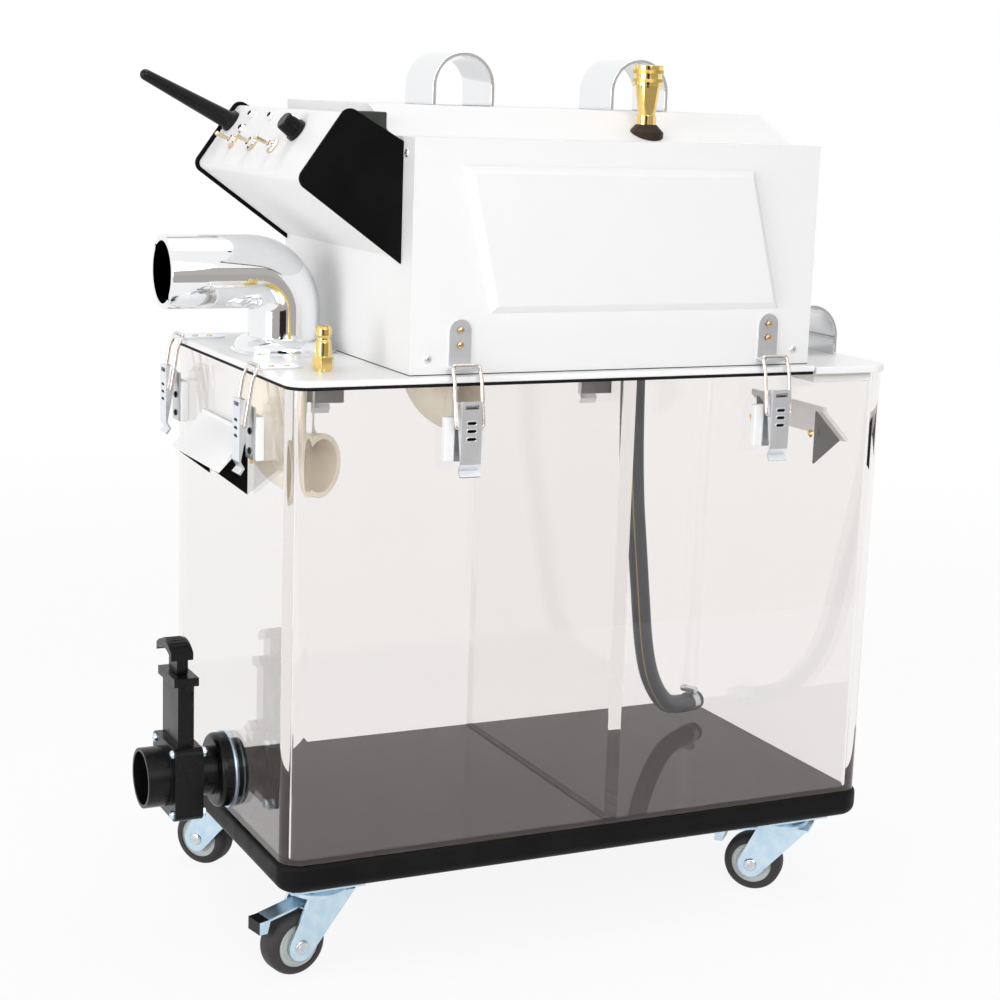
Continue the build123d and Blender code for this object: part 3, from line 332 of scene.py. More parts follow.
def fineGrainGroup():
    group, entry, leave = newGroup(
        "fineGrain",
        [("Vector", "Vector", None), ("Scale", "Float", 800.0),
         ("Low", "Float", 0.3), ("High", "Float", 0.5)],
        [("Height", "Float"), ("Roughness", "Float")],
    )
    fine = noiseNode(group.nodes, 3)
    broad = noiseNode(group.nodes, 4)
    less = mathNode(group.nodes, "MULTIPLY", 0.03)
    spread = rangeNode(group.nodes, 0.3, 0.7)
    link = group.links.new
    link(entry.outputs["Vector"], fine.inputs["Vector"])
    link(entry.outputs["Vector"], broad.inputs["Vector"])
    link(entry.outputs["Scale"], fine.inputs["Scale"])
    link(entry.outputs["Scale"], less.inputs[0])
    link(less.outputs[0], broad.inputs["Scale"])
    link(broad.outputs["Fac"], spread.inputs["Value"])
    link(entry.outputs["Low"], spread.inputs["To Min"])
    link(entry.outputs["High"], spread.inputs["To Max"])
    link(fine.outputs["Fac"], leave.inputs["Height"])
    link(spread.outputs["Result"], leave.inputs["Roughness"])
    return group


def driftGroup():
    group, entry, leave = newGroup(
        "colourDrift",
        [("Vector", "Vector", None), ("First", "Color", (0.5, 0.5, 0.5, 1)),
         ("Second", "Color", (0.5, 0.5, 0.5, 1)), ("Scale", "Float", 20.0)],
        [("Color", "Color")],
    )
    cloud = noiseNode(group.nodes, 5)
    spread = rangeNode(group.nodes, 0.32, 0.68)
    mix = colourMix(group.nodes)
    link = group.links.new
    link(entry.outputs["Vector"], cloud.inputs["Vector"])
    link(entry.outputs["Scale"], cloud.inputs["Scale"])
    link(cloud.outputs["Fac"], spread.inputs["Value"])
    link(spread.outputs["Result"], mix.inputs["Factor"])
    link(entry.outputs["First"], mix.inputs["A"])
    link(entry.outputs["Second"], mix.inputs["B"])
    link(mix.outputs["Result"], leave.inputs["Color"])
    return group


def brushedGroup():
    group, entry, leave = newGroup(
        "brushedLines",
        [("Vector", "Vector", None), ("Stretch", "Vector", (900.0, 900.0, 30.0)),
         ("Low", "Float", 0.2), ("High", "Float", 0.4)],
        [("Height", "Float"), ("Roughness", "Float")],
    )
    scale = group.nodes.new("ShaderNodeVectorMath")
    scale.operation = "MULTIPLY"
    lines = noiseNode(group.nodes, 2)
    lines.inputs["Scale"].default_value = 1.0
    spread = rangeNode(group.nodes, 0.3, 0.7)
    link = group.links.new
    link(entry.outputs["Vector"], scale.inputs[0])
    link(entry.outputs["Stretch"], scale.inputs[1])
    link(scale.outputs["Vector"], lines.inputs["Vector"])
    link(lines.outputs["Fac"], spread.inputs["Value"])
    link(entry.outputs["Low"], spread.inputs["To Min"])
    link(entry.outputs["High"], spread.inputs["To Max"])
    link(lines.outputs["Fac"], leave.inputs["Height"])
    link(spread.outputs["Result"], leave.inputs["Roughness"])
    return group


fineGrain = fineGrainGroup()
colourDrift = driftGroup()
brushedLines = brushedGroup()


def solidFinish(name, first, second, drift, grain, rough, bump, metallic=0.0, specular=0.5):
    material, nodes, link = newMaterial(name)
    shader = nodes["Principled BSDF"]
    setInputs(shader, {"Metallic": metallic, "Specular IOR Level": specular})
    where = nodes.new("ShaderNodeTexCoord").outputs["Object"]
    tint = groupNode(nodes, colourDrift, {"First": (*first, 1), "Second": (*second, 1), "Scale": drift})
    if isinstance(grain, tuple):
        texture = groupNode(nodes, brushedLines, {"Stretch": grain})
    else:
        texture = groupNode(nodes, fineGrain, {"Scale": grain})
    setInputs(texture, {"Low": rough[0], "High": rough[1]})
    relief = nodes.new("ShaderNodeBump")
    setInputs(relief, {"Strength": bump[0], "Distance": bump[1]})
    link(where, tint.inputs["Vector"])
    link(where, texture.inputs["Vector"])
    link(tint.outputs["Color"], shader.inputs["Base Color"])
    link(texture.outputs["Roughness"], shader.inputs["Roughness"])
    link(texture.outputs["Height"], relief.inputs["Height"])
    link(relief.outputs["Normal"], shader.inputs["Normal"])
    return material


clearLimits = {"smear": 300.0, "reflections": 1.5}


def clearSheet(name, tint, rough, ior=1.49):
    material, nodes, link = newMaterial(name)
    shader = nodes["Principled BSDF"]
    setInputs(shader, {"Base Color": (*tint, 1), "Transmission Weight": 1.0, "IOR": ior})
    where = nodes.new("ShaderNodeTexCoord").outputs["Object"]
    smear = groupNode(nodes, fineGrain, {"Scale": clearLimits["smear"], "Low": rough[0], "High": rough[1]})
    link(where, smear.inputs["Vector"])
    link(smear.outputs["Roughness"], shader.inputs["Roughness"])
    # light passes straight through in shadow and after the first reflection inside the sheet
    path = nodes.new("ShaderNodeLightPath")
    deep = mathNode(nodes, "GREATER_THAN", clearLimits["reflections"])
    straight = mathNode(nodes, "MAXIMUM")
    through = nodes.new("ShaderNodeBsdfTransparent")
    through.inputs["Color"].default_value = (*tint, 1)
    either = nodes.new("ShaderNodeMixShader")
    link(path.outputs["Glossy Depth"], deep.inputs[0])
    link(path.outputs["Is Shadow Ray"], straight.inputs[0])
    link(deep.outputs[0], straight.inputs[1])
    link(straight.outputs[0], either.inputs["Fac"])
    link(shader.outputs["BSDF"], either.inputs[1])
    link(through.outputs["BSDF"], either.inputs[2])
    link(either.outputs["Shader"], nodes["Material Output"].inputs["Surface"])
    return material


# Finishes: two colours and the scale of their drift, grain scale or brushed stretch, range of roughness, bump
# strength and distance
whitePaint = solidFinish("whitePaint", (0.84, 0.84, 0.84), (0.86, 0.86, 0.86), 6, 900, (0.40, 0.52),
                         (0.05, 0.0003), specular=0.3)
whiteSheet = solidFinish("whiteSheet", (0.90, 0.90, 0.90), (0.93, 0.93, 0.93), 9, 500, (0.28, 0.40),
                         (0.03, 0.0002), specular=0.3)
blackPaint = solidFinish("blackPaint", (0.003, 0.0025, 0.0025), (0.005, 0.0045, 0.0045), 30, 1400, (0.45, 0.60),
                         (0.12, 0.0002), specular=0.06)
trayPlastic = solidFinish("trayPlastic", (0.005, 0.0045, 0.005), (0.008, 0.0075, 0.008), 25, 1100, (0.40, 0.55),
                          (0.15, 0.0003), specular=0.1)
mouldedBlack = solidFinish("mouldedBlack", (0.004, 0.004, 0.004), (0.007, 0.007, 0.008), 40, 900, (0.18, 0.32),
                           (0.05, 0.0002), specular=0.2)
# dark seal rubber for the lid gasket, also used as a painted shadow line round the housing's foot
sealRubberAndFootShadow = solidFinish("sealRubberAndFootShadow", (0.008, 0.007, 0.007), (0.012, 0.011, 0.011), 60, 1500, (0.55, 0.75),
                         (0.12, 0.0002), specular=0.1)
brownRubber = solidFinish("brownRubber", (0.030, 0.017, 0.012), (0.042, 0.025, 0.018), 60, 1500, (0.45, 0.60),
                          (0.12, 0.0002), specular=0.2)
chromePlate = solidFinish("chromePlate", (0.86, 0.87, 0.88), (0.89, 0.90, 0.91), 15, 120, (0.03, 0.07),
                          (0.0, 0.0001), metallic=1.0)
stainless = solidFinish("stainless", (0.60, 0.61, 0.62), (0.66, 0.67, 0.68), 90, (1600, 1600, 60), (0.26, 0.38),
                        (0.03, 0.0001), metallic=1.0)
leverSteel = solidFinish("leverSteel", (0.80, 0.83, 0.87), (0.86, 0.88, 0.91), 60, 700, (0.30, 0.42),
                         (0.03, 0.0001), metallic=1.0)
blockGrey = solidFinish("blockGrey", (0.035, 0.040, 0.035), (0.050, 0.055, 0.050), 40, 900, (0.40, 0.55),
                        (0.05, 0.0002), specular=0.2)
zincPlate = solidFinish("zincPlate", (0.52, 0.69, 0.83), (0.65, 0.78, 0.87), 120, 700, (0.24, 0.40),
                        (0.08, 0.0001), metallic=1.0)
goldBrass = solidFinish("goldBrass", (0.89, 0.64, 0.20), (0.94, 0.72, 0.28), 150, 200, (0.08, 0.16),
                        (0.0, 0.0001), metallic=1.0)
copperRivet = solidFinish("copperRivet", (0.60, 0.40, 0.22), (0.72, 0.52, 0.32), 400, 900, (0.20, 0.34),
                          (0.05, 0.0001), metallic=1.0)
# plain steel for the clamp and axle heads; also the darker cross on the housing screws, painted shade of their
# recesses
screwSteelAndRecessShade = solidFinish("screwSteelAndRecessShade", (0.55, 0.56, 0.57), (0.66, 0.67, 0.68), 300, 1200, (0.22, 0.34),
                         (0.05, 0.0001), metallic=1.0)
# dark steel for the latch base screws; also painted shade inside the lever slots
darkSteelAndSlotShade = solidFinish("darkSteelAndSlotShade", (0.03, 0.03, 0.032), (0.05, 0.05, 0.055), 300, 1200, (0.25, 0.40),
                        (0.05, 0.0001), metallic=0.8)
tyreRubber = solidFinish("tyreRubber", (0.040, 0.037, 0.037), (0.052, 0.048, 0.048), 80, 1300, (0.50, 0.66),
                         (0.10, 0.0002), specular=0.25)
hubPlastic = solidFinish("hubPlastic", (0.56, 0.60, 0.58), (0.63, 0.67, 0.65), 70, 800, (0.30, 0.42),
                         (0.05, 0.0002))
pipePlastic = solidFinish("pipePlastic", (0.84, 0.76, 0.62), (0.88, 0.81, 0.68), 18, 700, (0.26, 0.40),
                          (0.04, 0.0002))
castGrey = solidFinish("castGrey", (0.30, 0.31, 0.32), (0.38, 0.39, 0.40), 40, 900, (0.42, 0.60),
                       (0.2, 0.0003), metallic=0.6)
acrylicClear = clearSheet("acrylicClear", (0.945, 0.932, 0.925), (0.0, 0.02))
acrylicFloor = clearSheet("acrylicFloor", (0.95, 0.93, 0.925), (0.0, 0.02), 1.16)
acrylicDivider = clearSheet("acrylicDivider", (0.965, 0.955, 0.95), (0.0, 0.02), 1.22)
matteBrass = solidFinish("matteBrass", (0.62, 0.42, 0.12), (0.74, 0.52, 0.18), 300, 2000, (0.38, 0.52),
                         (0.2, 0.0001), metallic=1.0)
nickelWarm = solidFinish("nickelWarm", (0.62, 0.50, 0.34), (0.76, 0.64, 0.47), 200, 500, (0.10, 0.20),
                         (0.02, 0.0001), metallic=1.0)
bailWire = solidFinish("bailWire", (0.70, 0.63, 0.58), (0.80, 0.74, 0.70), 300, 900, (0.16, 0.28),
                       (0.04, 0.0001), metallic=1.0)
bondDark = solidFinish("bondDark", (0.024, 0.013, 0.013), (0.032, 0.018, 0.018), 12, 700, (0.45, 0.60),
                       (0.05, 0.0002), specular=0.05)
# near-black brown finish for the elbow's bore: painted shade inside the tube
boreShade = solidFinish("boreShade", (0.010, 0.007, 0.005), (0.020, 0.014, 0.010), 40, 700, (0.35, 0.50),
                         (0.05, 0.0002), specular=0.1)
print("finishes ready", len(bpy.data.materials))

# The suction hose follows the CAD tube, hanging a little further out as in the photograph. Its route is given as
# distance along its heading, and height
hoseSizes = {"start": (0.14175, 0.037), "heading": 24.33, "radius": 0.0085, "bore": 0.0055, "sides": 24,
             "length": 0.42, "resolution": 20, "order": 3, "boreDepth": 3}
hoseRoute = [(0, 0.4585), (0.001, 0.360), (0.020, 0.250), (0.034, 0.168), (0.058, 0.130), (0.0842, 0.1136),
             (0.1224, 0.1136)]
hoseStripe = {"place": 0.43, "half": 0.011, "colour": (0.24, 0.19, 0.06)}


def hoseLine(sizes, route):
    heading = math.radians(sizes["heading"])
    curve = bpy.data.curves.new("hoseLine", "CURVE")
    curve.dimensions = "3D"
    curve.resolution_u = sizes["resolution"]
    spline = curve.splines.new("NURBS")
    spline.points.add(len(route) - 1)
    for point, (along, height) in zip(spline.points, route):
        x = sizes["start"][0] + along * math.cos(heading)
        y = sizes["start"][1] + along * math.sin(heading)
        point.co = (x, y, height, 1)
    spline.order_u = sizes["order"]
    spline.use_endpoint_u = True
    holder = bpy.data.objects.new("hoseLine", curve)
    line = bpy.data.meshes.new_from_object(holder)
    points = [vert.co.copy() for vert in line.vertices]
    bpy.data.objects.remove(holder)
    bpy.data.meshes.remove(line)
    return points


def hoseFinish(stripe):
    material = solidFinish("hoseRubber", (0.017, 0.019, 0.026), (0.027, 0.030, 0.040), 60, 900, (0.40, 0.55),
                           (0.10, 0.0002))
    nodes = material.node_tree.nodes
    link = material.node_tree.links.new
    shader = nodes["Principled BSDF"]
    plain = shader.inputs["Base Color"].links[0].from_socket
    around = nodes.new("ShaderNodeAttribute")
    around.attribute_name = "aroundHose"
    band = mathNode(nodes, "COMPARE", stripe["place"])
    band.inputs[2].default_value = stripe["half"]
    mix = colourMix(nodes)
    mix.inputs["B"].default_value = (*stripe["colour"], 1)
    link(around.outputs["Fac"], band.inputs[0])
    link(band.outputs["Value"], mix.inputs["Factor"])
    link(plain, mix.inputs["A"])
    link(mix.outputs["Result"], shader.inputs["Base Color"])
    return material


def makeHose(sizes, route):
    points = hoseLine(sizes, route)
    bm = bmesh.new()
    ring = bm.verts.layers.float.new("aroundHose")
    outer = tubeAlong(bm, points, sizes["radius"], sizes["sides"], ring)
    inner = tubeAlong(bm, points[-sizes["boreDepth"]:], sizes["bore"], sizes["sides"], ring)
    bridge(bm, outer[-1], inner[-1])
    for loop in (outer[0], inner[0]):
        bmesh.ops.contextual_create(bm, geom=loop)
    bmesh.ops.recalc_face_normals(bm, faces=bm.faces)
    hose = finishPiece("solutionHose", bm, "top", "hose_rubber", [hoseFinish(hoseStripe)], ["suction_hose"])
    return hose, points


solutionHose, hosePoints = makeHose(hoseSizes, hoseRoute)

# Worm clamp: a band, a box for the worm and its screw head. Heights are measured from the hose's open end
clampSizes = {"low": 0.0067, "high": 0.0149, "gap": 0.0001, "band": 0.0011, "boxHalf": 0.006, "boxFoot": 0.0008,
              "boxTop": 0.0062, "boxInset": 0.0005, "boxEdge": 0.001, "screwBack": 0.010, "screwRise": 0.0035}
clampScrew = [(0, 0), (0.0026, 0), (0.0032, 0.0006), (0.0032, 0.004), (0, 0.004)]


def makeHoseClamp(points, hose, sizes):
    ahead = (points[-1] - points[-2]).normalized()
    low, high = sizes["low"], sizes["high"]
    radius = hose["radius"]
    inside, outside = radius + sizes["gap"], radius + sizes["band"]
    place = placeOn(points[-1], -ahead)
    bm = bmesh.new()
    spunPart(bm, [(inside, low), (outside, low), (outside, high), (inside, high)], place, 0, closed=True)
    boxLow = (-sizes["boxHalf"], radius + sizes["boxFoot"], low + sizes["boxInset"])
    boxHigh = (sizes["boxHalf"], radius + sizes["boxTop"], high - sizes["boxInset"])
    bevelledBox(bm, boxLow, boxHigh, sizes["boxEdge"], place=place)
    head = Matrix.Translation((-sizes["screwBack"], radius + sizes["screwRise"], (low + high) / 2))
    spunPart(bm, clampScrew, place @ head @ turned(90, "Y"), 0, 24)
    return finishNode("hose_clamp", bm, "top", "brass_gold", [screwSteelAndRecessShade])


hoseClamp = makeHoseClamp(hosePoints, hoseSizes, clampSizes)
print("hose and clamp made")

# Tank of clear sheet on its tray
tankSizes = {"wall": 0.010, "floor": 0.0015, "corner": 0.016, "lift": 0.0003, "edge": 0.0006, "smooth": 30}
traySizes = {"corner": 0.0185, "topRound": 0.004, "bottomRound": 0.009}


def makeTray(sizes):
    low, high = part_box("base_tray")
    bm = bmesh.new()
    boxBetween(bm, low, high)
    bevelEdges(bm, uprightEdges(bm), sizes["corner"], segments=12)
    bevelEdges(bm, levelEdges(bm, high.z), sizes["topRound"], segments=4)
    bevelEdges(bm, levelEdges(bm, low.z), sizes["bottomRound"], segments=6)
    finishNode("base_tray", bm, "tank", "tray_black", [trayPlastic])


def makeTank(sizes):
    low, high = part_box("tank_shell")
    low.z += sizes["lift"]
    bm = bmesh.new()
    boxBetween(bm, low, high)
    bevelEdges(bm, uprightEdges(bm), sizes["corner"], segments=14)
    top = max(bm.faces, key=lambda face: face.calc_center_median().z)
    bmesh.ops.inset_region(bm, faces=[top], thickness=sizes["wall"], use_even_offset=True)
    inner = bmesh.ops.extrude_face_region(bm, geom=[top])["geom"]
    bmesh.ops.delete(bm, geom=[top], context="FACES_ONLY")
    depth = high.z - low.z - sizes["floor"]
    sunk = [part for part in inner if isinstance(part, bmesh.types.BMVert)]
    bmesh.ops.translate(bm, vec=(0, 0, -depth), verts=sunk)
    bmesh.ops.recalc_face_normals(bm, faces=bm.faces)
    for face in bm.faces:
        facesUp = round(face.normal.z)
        if facesUp < 0:
            face.material_index = 2  # underside, bonded to the tray
        elif facesUp > 0 and face.calc_center_median().z < high.z - depth / 2:
            face.material_index = 1  # top of the floor
    finishes = [acrylicClear, acrylicFloor, bondDark]
    finishNode("tank_shell", bm, "tank", "clear_acrylic", finishes, smooth=sizes["smooth"])


def makeDivider(sizes):
    low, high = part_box("tank_divider")
    gap = sizes["lift"]
    low.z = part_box("tank_shell")[0].z + gap + sizes["floor"]
    bm = bmesh.new()
    verts = boxBetween(bm, low + Vector((0, gap, gap)), high - Vector((0, gap, gap)))
    bevelEdges(bm, list({e for v in verts for e in v.link_edges}), sizes["edge"], segments=2)
    bm.normal_update()
    for face in bm.faces:
        face.material_index = int(face.normal.z < -0.1)  # lower edge, bonded to the dark floor
    finishNode("tank_divider", bm, "tank", "clear_acrylic", [acrylicDivider, bondDark])


makeTray(traySizes)
makeTank(tankSizes)
makeDivider(tankSizes)
print("tank made")

# Lids: plain sheets with rounded outer corners, and a lip under the fill lid
lidSizes = {"corner": 0.0175, "round": 0.0012, "lipStart": 0.004, "lipInset": 0.013, "lipEdge": 0.0015}


def lidSheet(node, side, bottom, sizes):
    low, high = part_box(node)
    bm = bmesh.new()
    boxBetween(bm, (low.x, low.y, bottom), high)
    corners = [e for e in uprightEdges(bm) if (e.verts[0].co.x - (low.x + high.x) / 2) * side > 0]
    bevelEdges(bm, corners, sizes["corner"], segments=12)
    bevelEdges(bm, levelEdges(bm, high.z) + levelEdges(bm, bottom), sizes["round"], segments=3)
    return bm


def makeLids(sizes):
    bm = lidSheet("lid_plate", -1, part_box("lid_plate")[0].z, sizes)
    finishPiece("mainLid", bm, "top", "white_plastic", [whiteSheet], ["lid_plate"])
    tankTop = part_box("tank_shell")[1].z
    bm = lidSheet("fill_lid", 1, tankTop, sizes)
    low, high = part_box("fill_lid")
    inset = sizes["lipInset"]
    lipHigh = (high.x - inset, high.y - inset, tankTop)
    lip = boxBetween(bm, (low.x + sizes["lipStart"], low.y + inset, low.z), lipHigh)
    bevelEdges(bm, list({e for v in lip for e in v.link_edges}), sizes["lipEdge"], segments=2)
    finishNode("fill_lid", bm, "fill_cover", "white_plastic", [whiteSheet])


makeLids(lidSizes)
print("lids made")

# CAD solids that only need their edges softened: node, edge radius, body, slot, finish
softened = [
    ("front_cover", 0.0008, "top", "white_paint", whitePaint),
    ("console_shell", 0.0008, "top", "white_paint", whitePaint),
    ("console_cheeks", 0.0006, "top", "black_sheet", blackPaint),
    ("wire_block", 0.0012, "top", "black_plastic", blockGrey),
    ("grab_cheeks", 0.0005, "tank", "black_sheet", blackPaint),
    ("latch_spacers", 0.0006, "tank", "white_plastic", whiteSheet),
    ("caster_plates", 0.0004, "tank", "zinc_steel", zincPlate),
    ("carry_handles", 0.0006, "top", "chrome_steel", chromePlate),
    ("fill_lid_handle", 0.0006, "fill_cover", "chrome_steel", chromePlate),
    ("drop_pipes", 0.0008, "top", "pvc_cream", pipePlastic),
    ("cord_gland", 0.0006, "top", "black_plastic", mouldedBlack),
    ("lid_gasket", 0.0004, "top", "seal_rubber", sealRubberAndFootShadow),
    ("vacuum_motor", 0.0008, "top", "motor_grey", castGrey),
    ("water_pump", 0.0010, "top", "motor_grey", castGrey),
    ("quick_plug", 0.0003, "top", "brass_gold", goldBrass),
    ("coupler_body", 0.0003, "top", "brass_gold", goldBrass),
    ("coupler_boot", 0.0004, "top", "seal_rubber", brownRubber),
    ("speed_knob", 0.0004, "speed_knob", "black_plastic", mouldedBlack),
]
toggleNumbers = (1, 2, 3)
for number in toggleNumbers:
    softened.append((f"toggle_lever_{number}", 0.0002, f"toggle_{number}", "chrome_steel", nickelWarm))
casterNames = ("front_left", "front_right", "rear_left", "rear_right")
latchNames = ("front_left", "front_right", "rear_left", "rear_right", "end_front", "end_rear")
for name in latchNames:
    softened.append((f"latch_bail_{name}", 0.0002, f"bail_{name}", "stainless", bailWire))

for node, width, body, slot, finish in softened:
    finishNode(node, softCopy(node, width), body, slot, [finish])
print("softened", len(softened), "solids")

# Suction inlet: a chrome elbow on a domed flange, its bore painted dark as shade inside the tube
elbowSizes = {"outer": 0.0285, "bore": 0.025, "bend": 0.030, "flange": 0.042, "rim": 0.0009, "sides": 72,
              "steps": 20}
flangeSizes = {"bore": 0.0280, "domeCentre": (0.0284, 0.0034), "domeReach": (0.0110, 0.0100), "domeSteps": 15,
               "top": 0.0134}
flangeRim = [(0.0280, 0), (0.0420, 0), (0.0420, 0.0022), (0.0413, 0.0030), (0.0397, 0.0032)]


def flangeProfile(sizes):
    steps = sizes["domeSteps"]
    (middle, foot), (reach, rise) = sizes["domeCentre"], sizes["domeReach"]
    angles = [math.radians(90 * step / steps) for step in range(steps + 1)]
    dome = [(middle + reach * math.cos(a), foot + rise * math.sin(a)) for a in angles]
    return flangeRim + dome + [(sizes["bore"], sizes["top"])]


def elbowPath(mouth, stem, foot, bend, steps):
    centre = Vector((stem - bend, mouth.y, mouth.z - bend))
    path = [mouth]
    for step in range(steps + 1):
        angle = math.radians(90 - 90 * step / steps)
        path.append(centre + bend * Vector((math.cos(angle), 0, math.sin(angle))))
    path.append(Vector((stem, mouth.y, foot)))
    return path


def makeElbow(sizes):
    low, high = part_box("inlet_elbow")
    axis = Vector(mounts["hose_inlet"]["pos_m"])
    stem = high.x - sizes["flange"]
    path = elbowPath(Vector((low.x, axis.y, axis.z)), stem, low.z, sizes["bend"], sizes["steps"])
    bm = bmesh.new()
    outer = tubeAlong(bm, path, sizes["outer"], sizes["sides"])
    shell = set(bm.faces)
    inner = tubeAlong(bm, path, sizes["bore"], sizes["sides"])
    # the inner wall gets the near-black finish: painted shade down the bore
    for face in set(bm.faces) - shell:
        face.material_index = 1
    bridge(bm, outer[0], inner[0])
    bridge(bm, outer[-1], inner[-1])
    bmesh.ops.recalc_face_normals(bm, faces=bm.faces)
    bevelEdges(bm, list(ringEdges(outer[0]) | ringEdges(inner[0])), sizes["rim"], segments=3)
    foot = Matrix.Translation((stem, axis.y, low.z))
    spunPart(bm, flangeProfile(flangeSizes), foot, 0, sizes["sides"], True)
    finishNode("inlet_elbow", bm, "top", "chrome_steel", [chromePlate, boreShade], flat=False)


makeElbow(elbowSizes)

# Housing, with a painted shadow line round its foot where it sits on the lid, a screw in each lower corner and near
# the top of its side walls
housingSizes = {"edge": 0.0016, "seam": 0.0007, "screw": 0.0033, "screwHeight": 0.0013, "low": 0.0122,
                "side": 0.0145, "high": 0.034}


def makeHousing(sizes):
    low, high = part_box("housing_shell")
    bm = softCopy("housing_shell", sizes["edge"])
    seam = low.z + sizes["seam"]
    whole = bm.verts[:] + bm.edges[:] + bm.faces[:]
    bmesh.ops.bisect_plane(bm, geom=whole, plane_co=(0, 0, seam), plane_no=(0, 0, 1))
    # faces below the cut get the dark seal rubber: a painted shadow line for the gap above the lid
    for face in bm.faces:
        face.material_index = 3 if face.calc_center_median().z < seam else 0
    spots = []
    for x in (low.x + sizes["side"], high.x - sizes["side"]):
        spots.append(((x, low.y, low.z + sizes["low"]), (0, -1, 0)))
        spots.append(((x, high.y, low.z + sizes["low"]), (0, 1, 0)))
    for y in (low.y + sizes["side"], high.y - sizes["side"]):
        spots.append(((low.x, y, high.z - sizes["high"]), (-1, 0, 0)))
        spots.append(((high.x, y, high.z - sizes["high"]), (1, 0, 0)))
    for point, direction in spots:
        # each screw's cross is in the darker steel: painted shade of the recess
        crossScrew(bm, placeOn(point, direction), sizes["screw"], sizes["screwHeight"], 1, 2)
    finishes = [whitePaint, leverSteel, screwSteelAndRecessShade, sealRubberAndFootShadow]
    finishNode("housing_shell", bm, "top", "white_paint", finishes)


makeHousing(housingSizes)

# Console fittings: hexagon nuts on the toggle bushings, a dark lens in each lamp and in the fuse holder
panelOut = Vector(joints["knob_turn"]["axis"])
panelUp = Vector((0, 1, 0)).cross(panelOut)
fittingSizes = {"edge": 0.0002, "ball": 0.0025, "nut": 0.0066, "nutBore": 0.0038, "nutHeight": 0.0021,
                "nutTurn": 11, "lamp": 0.0265, "fuse": 0.0129, "fuseColumn": 3, "lens": 0.0022,
                "lensHeight": 0.0009, "lampTop": 0.0035}


def makeFittings(sizes):
    bm = softCopy("panel_fittings", sizes["edge"])
    for number in toggleNumbers:
        base = Vector(joints[f"toggle_{number}_flip"]["pos_m"]) - sizes["ball"] * panelOut
        place = placeOn(base, panelOut) @ turned(sizes["nutTurn"] * number, "Z")
        hexNut(bm, place, sizes["nut"], sizes["nutBore"], sizes["nutHeight"], 1)
        rises = [sizes["lamp"]]
        if number == sizes["fuseColumn"]:
            rises.append(sizes["fuse"])
        for rise in rises:
            top = base + rise * panelUp + sizes["lampTop"] * panelOut
            domeHead(bm, placeOn(top, panelOut), sizes["lens"], sizes["lensHeight"], 2)
    finishes = [chromePlate, nickelWarm, mouldedBlack]
    finishNode("panel_fittings", bm, "top", "chrome_steel", finishes)


makeFittings(fittingSizes)

# Antenna-like whip: a smooth taper with a round tip, leaning out of its seat on the panel
whipSizes = {"elevation": 26.1, "length": 0.0805, "base": 0.0075, "tip": 0.0045, "root": 0.0045,
             "shank": 0.002, "seat": 0.0092, "seatHeight": 0.0042, "seatEdge": 0.001}


def makeWhip(sizes):
    low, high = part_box("antenna")
    lean = math.radians(sizes["elevation"])
    ahead = Vector((-math.cos(lean), 0, math.sin(lean)))
    end = Vector((low.x + sizes["tip"], (low.y + high.y) / 2, high.z - sizes["tip"]))
    seat = end - sizes["length"] * ahead
    bm = bmesh.new()
    profile = [(0, -sizes["root"]), (sizes["base"], -sizes["root"]), (sizes["base"], sizes["shank"])]
    spunPart(bm, profile + arc((0, sizes["length"]), sizes["tip"], 0, 90, 8), placeOn(seat, ahead))
    rim, top, edge = sizes["seat"], sizes["seatHeight"], sizes["seatEdge"]
    spunPart(bm, [(0, 0), (rim, 0), (rim, top - edge), (rim - edge, top), (0, top)], placeOn(seat, panelOut))
    finishNode("antenna", bm, "top", "black_plastic", [mouldedBlack])


makeWhip(whipSizes)

# Quick coupler's sleeve, with two matt grip rings
sleeveSizes = {"edge": 0.0003, "ring": 0.0026, "proud": 0.00025, "sunk": 0.0012, "starts": (0.0026, 0.0094)}


def makeSleeve(sizes):
    low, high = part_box("coupler_sleeve")
    middle = (low + high) / 2
    radius = (high.x - low.x) / 2
    inside, outside = radius - sizes["sunk"], radius + sizes["proud"]
    bm = softCopy("coupler_sleeve", sizes["edge"])
    for start in sizes["starts"]:
        end = start + sizes["ring"]
        band = [(inside, start), (outside, start), (outside, end), (inside, end)]
        spunPart(bm, band, Matrix.Translation((middle.x, middle.y, low.z)), 1, closed=True)
    finishNode("coupler_sleeve", bm, "coupler_sleeve", "brass_gold", [goldBrass, matteBrass])


makeSleeve(sleeveSizes)

# End grabs, each held by two dome screws inside the tank wall
grabSizes = {"edge": 0.0005, "out": 0.0465, "level": 0.390, "screw": 0.0036, "screwHeight": 0.0022}


def makeGrabs(sizes):
    low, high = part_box("tank_shell")
    bm = softCopy("end_grabs", sizes["edge"])
    for y in (-sizes["out"], sizes["out"]):
        for x, way in ((low.x + tankSizes["wall"], 1), (high.x - tankSizes["wall"], -1)):
            place = placeOn((x, y, sizes["level"]), (way, 0, 0))
            domeHead(bm, place, sizes["screw"], sizes["screwHeight"], 1, 0)
    finishNode("end_grabs", bm, "tank", "white_plastic", [whiteSheet, goldBrass])


makeGrabs(grabSizes)

# Drain valve: four bolts through its body, a thin washer on the tank wall, grip ribs on the pull
drainSizes = {"edge": 0.0008, "near": 0.028, "far": 0.051, "boltOut": 0.0235, "boltLow": 0.025, "boltHigh": 0.0245,
              "bolt": 0.0036, "boltHeight": 0.0026, "nut": 0.0040, "nutBore": 0.0016, "nutHeight": 0.0036,
              "boltEnd": 0.0020, "boltEndHeight": 0.0054, "washer": (0.0300, 0.0312, 0.0014)}
gateSizes = {"edge": 0.0008, "pullHalf": 0.020, "arch": 0.007, "ribs": 7, "ribPitch": 0.0046, "ribHalf": 0.0068,
             "ribHalfWidth": 0.0008, "ribSunk": 0.0012, "ribProud": 0.0005, "ribEdge": 0.0003}


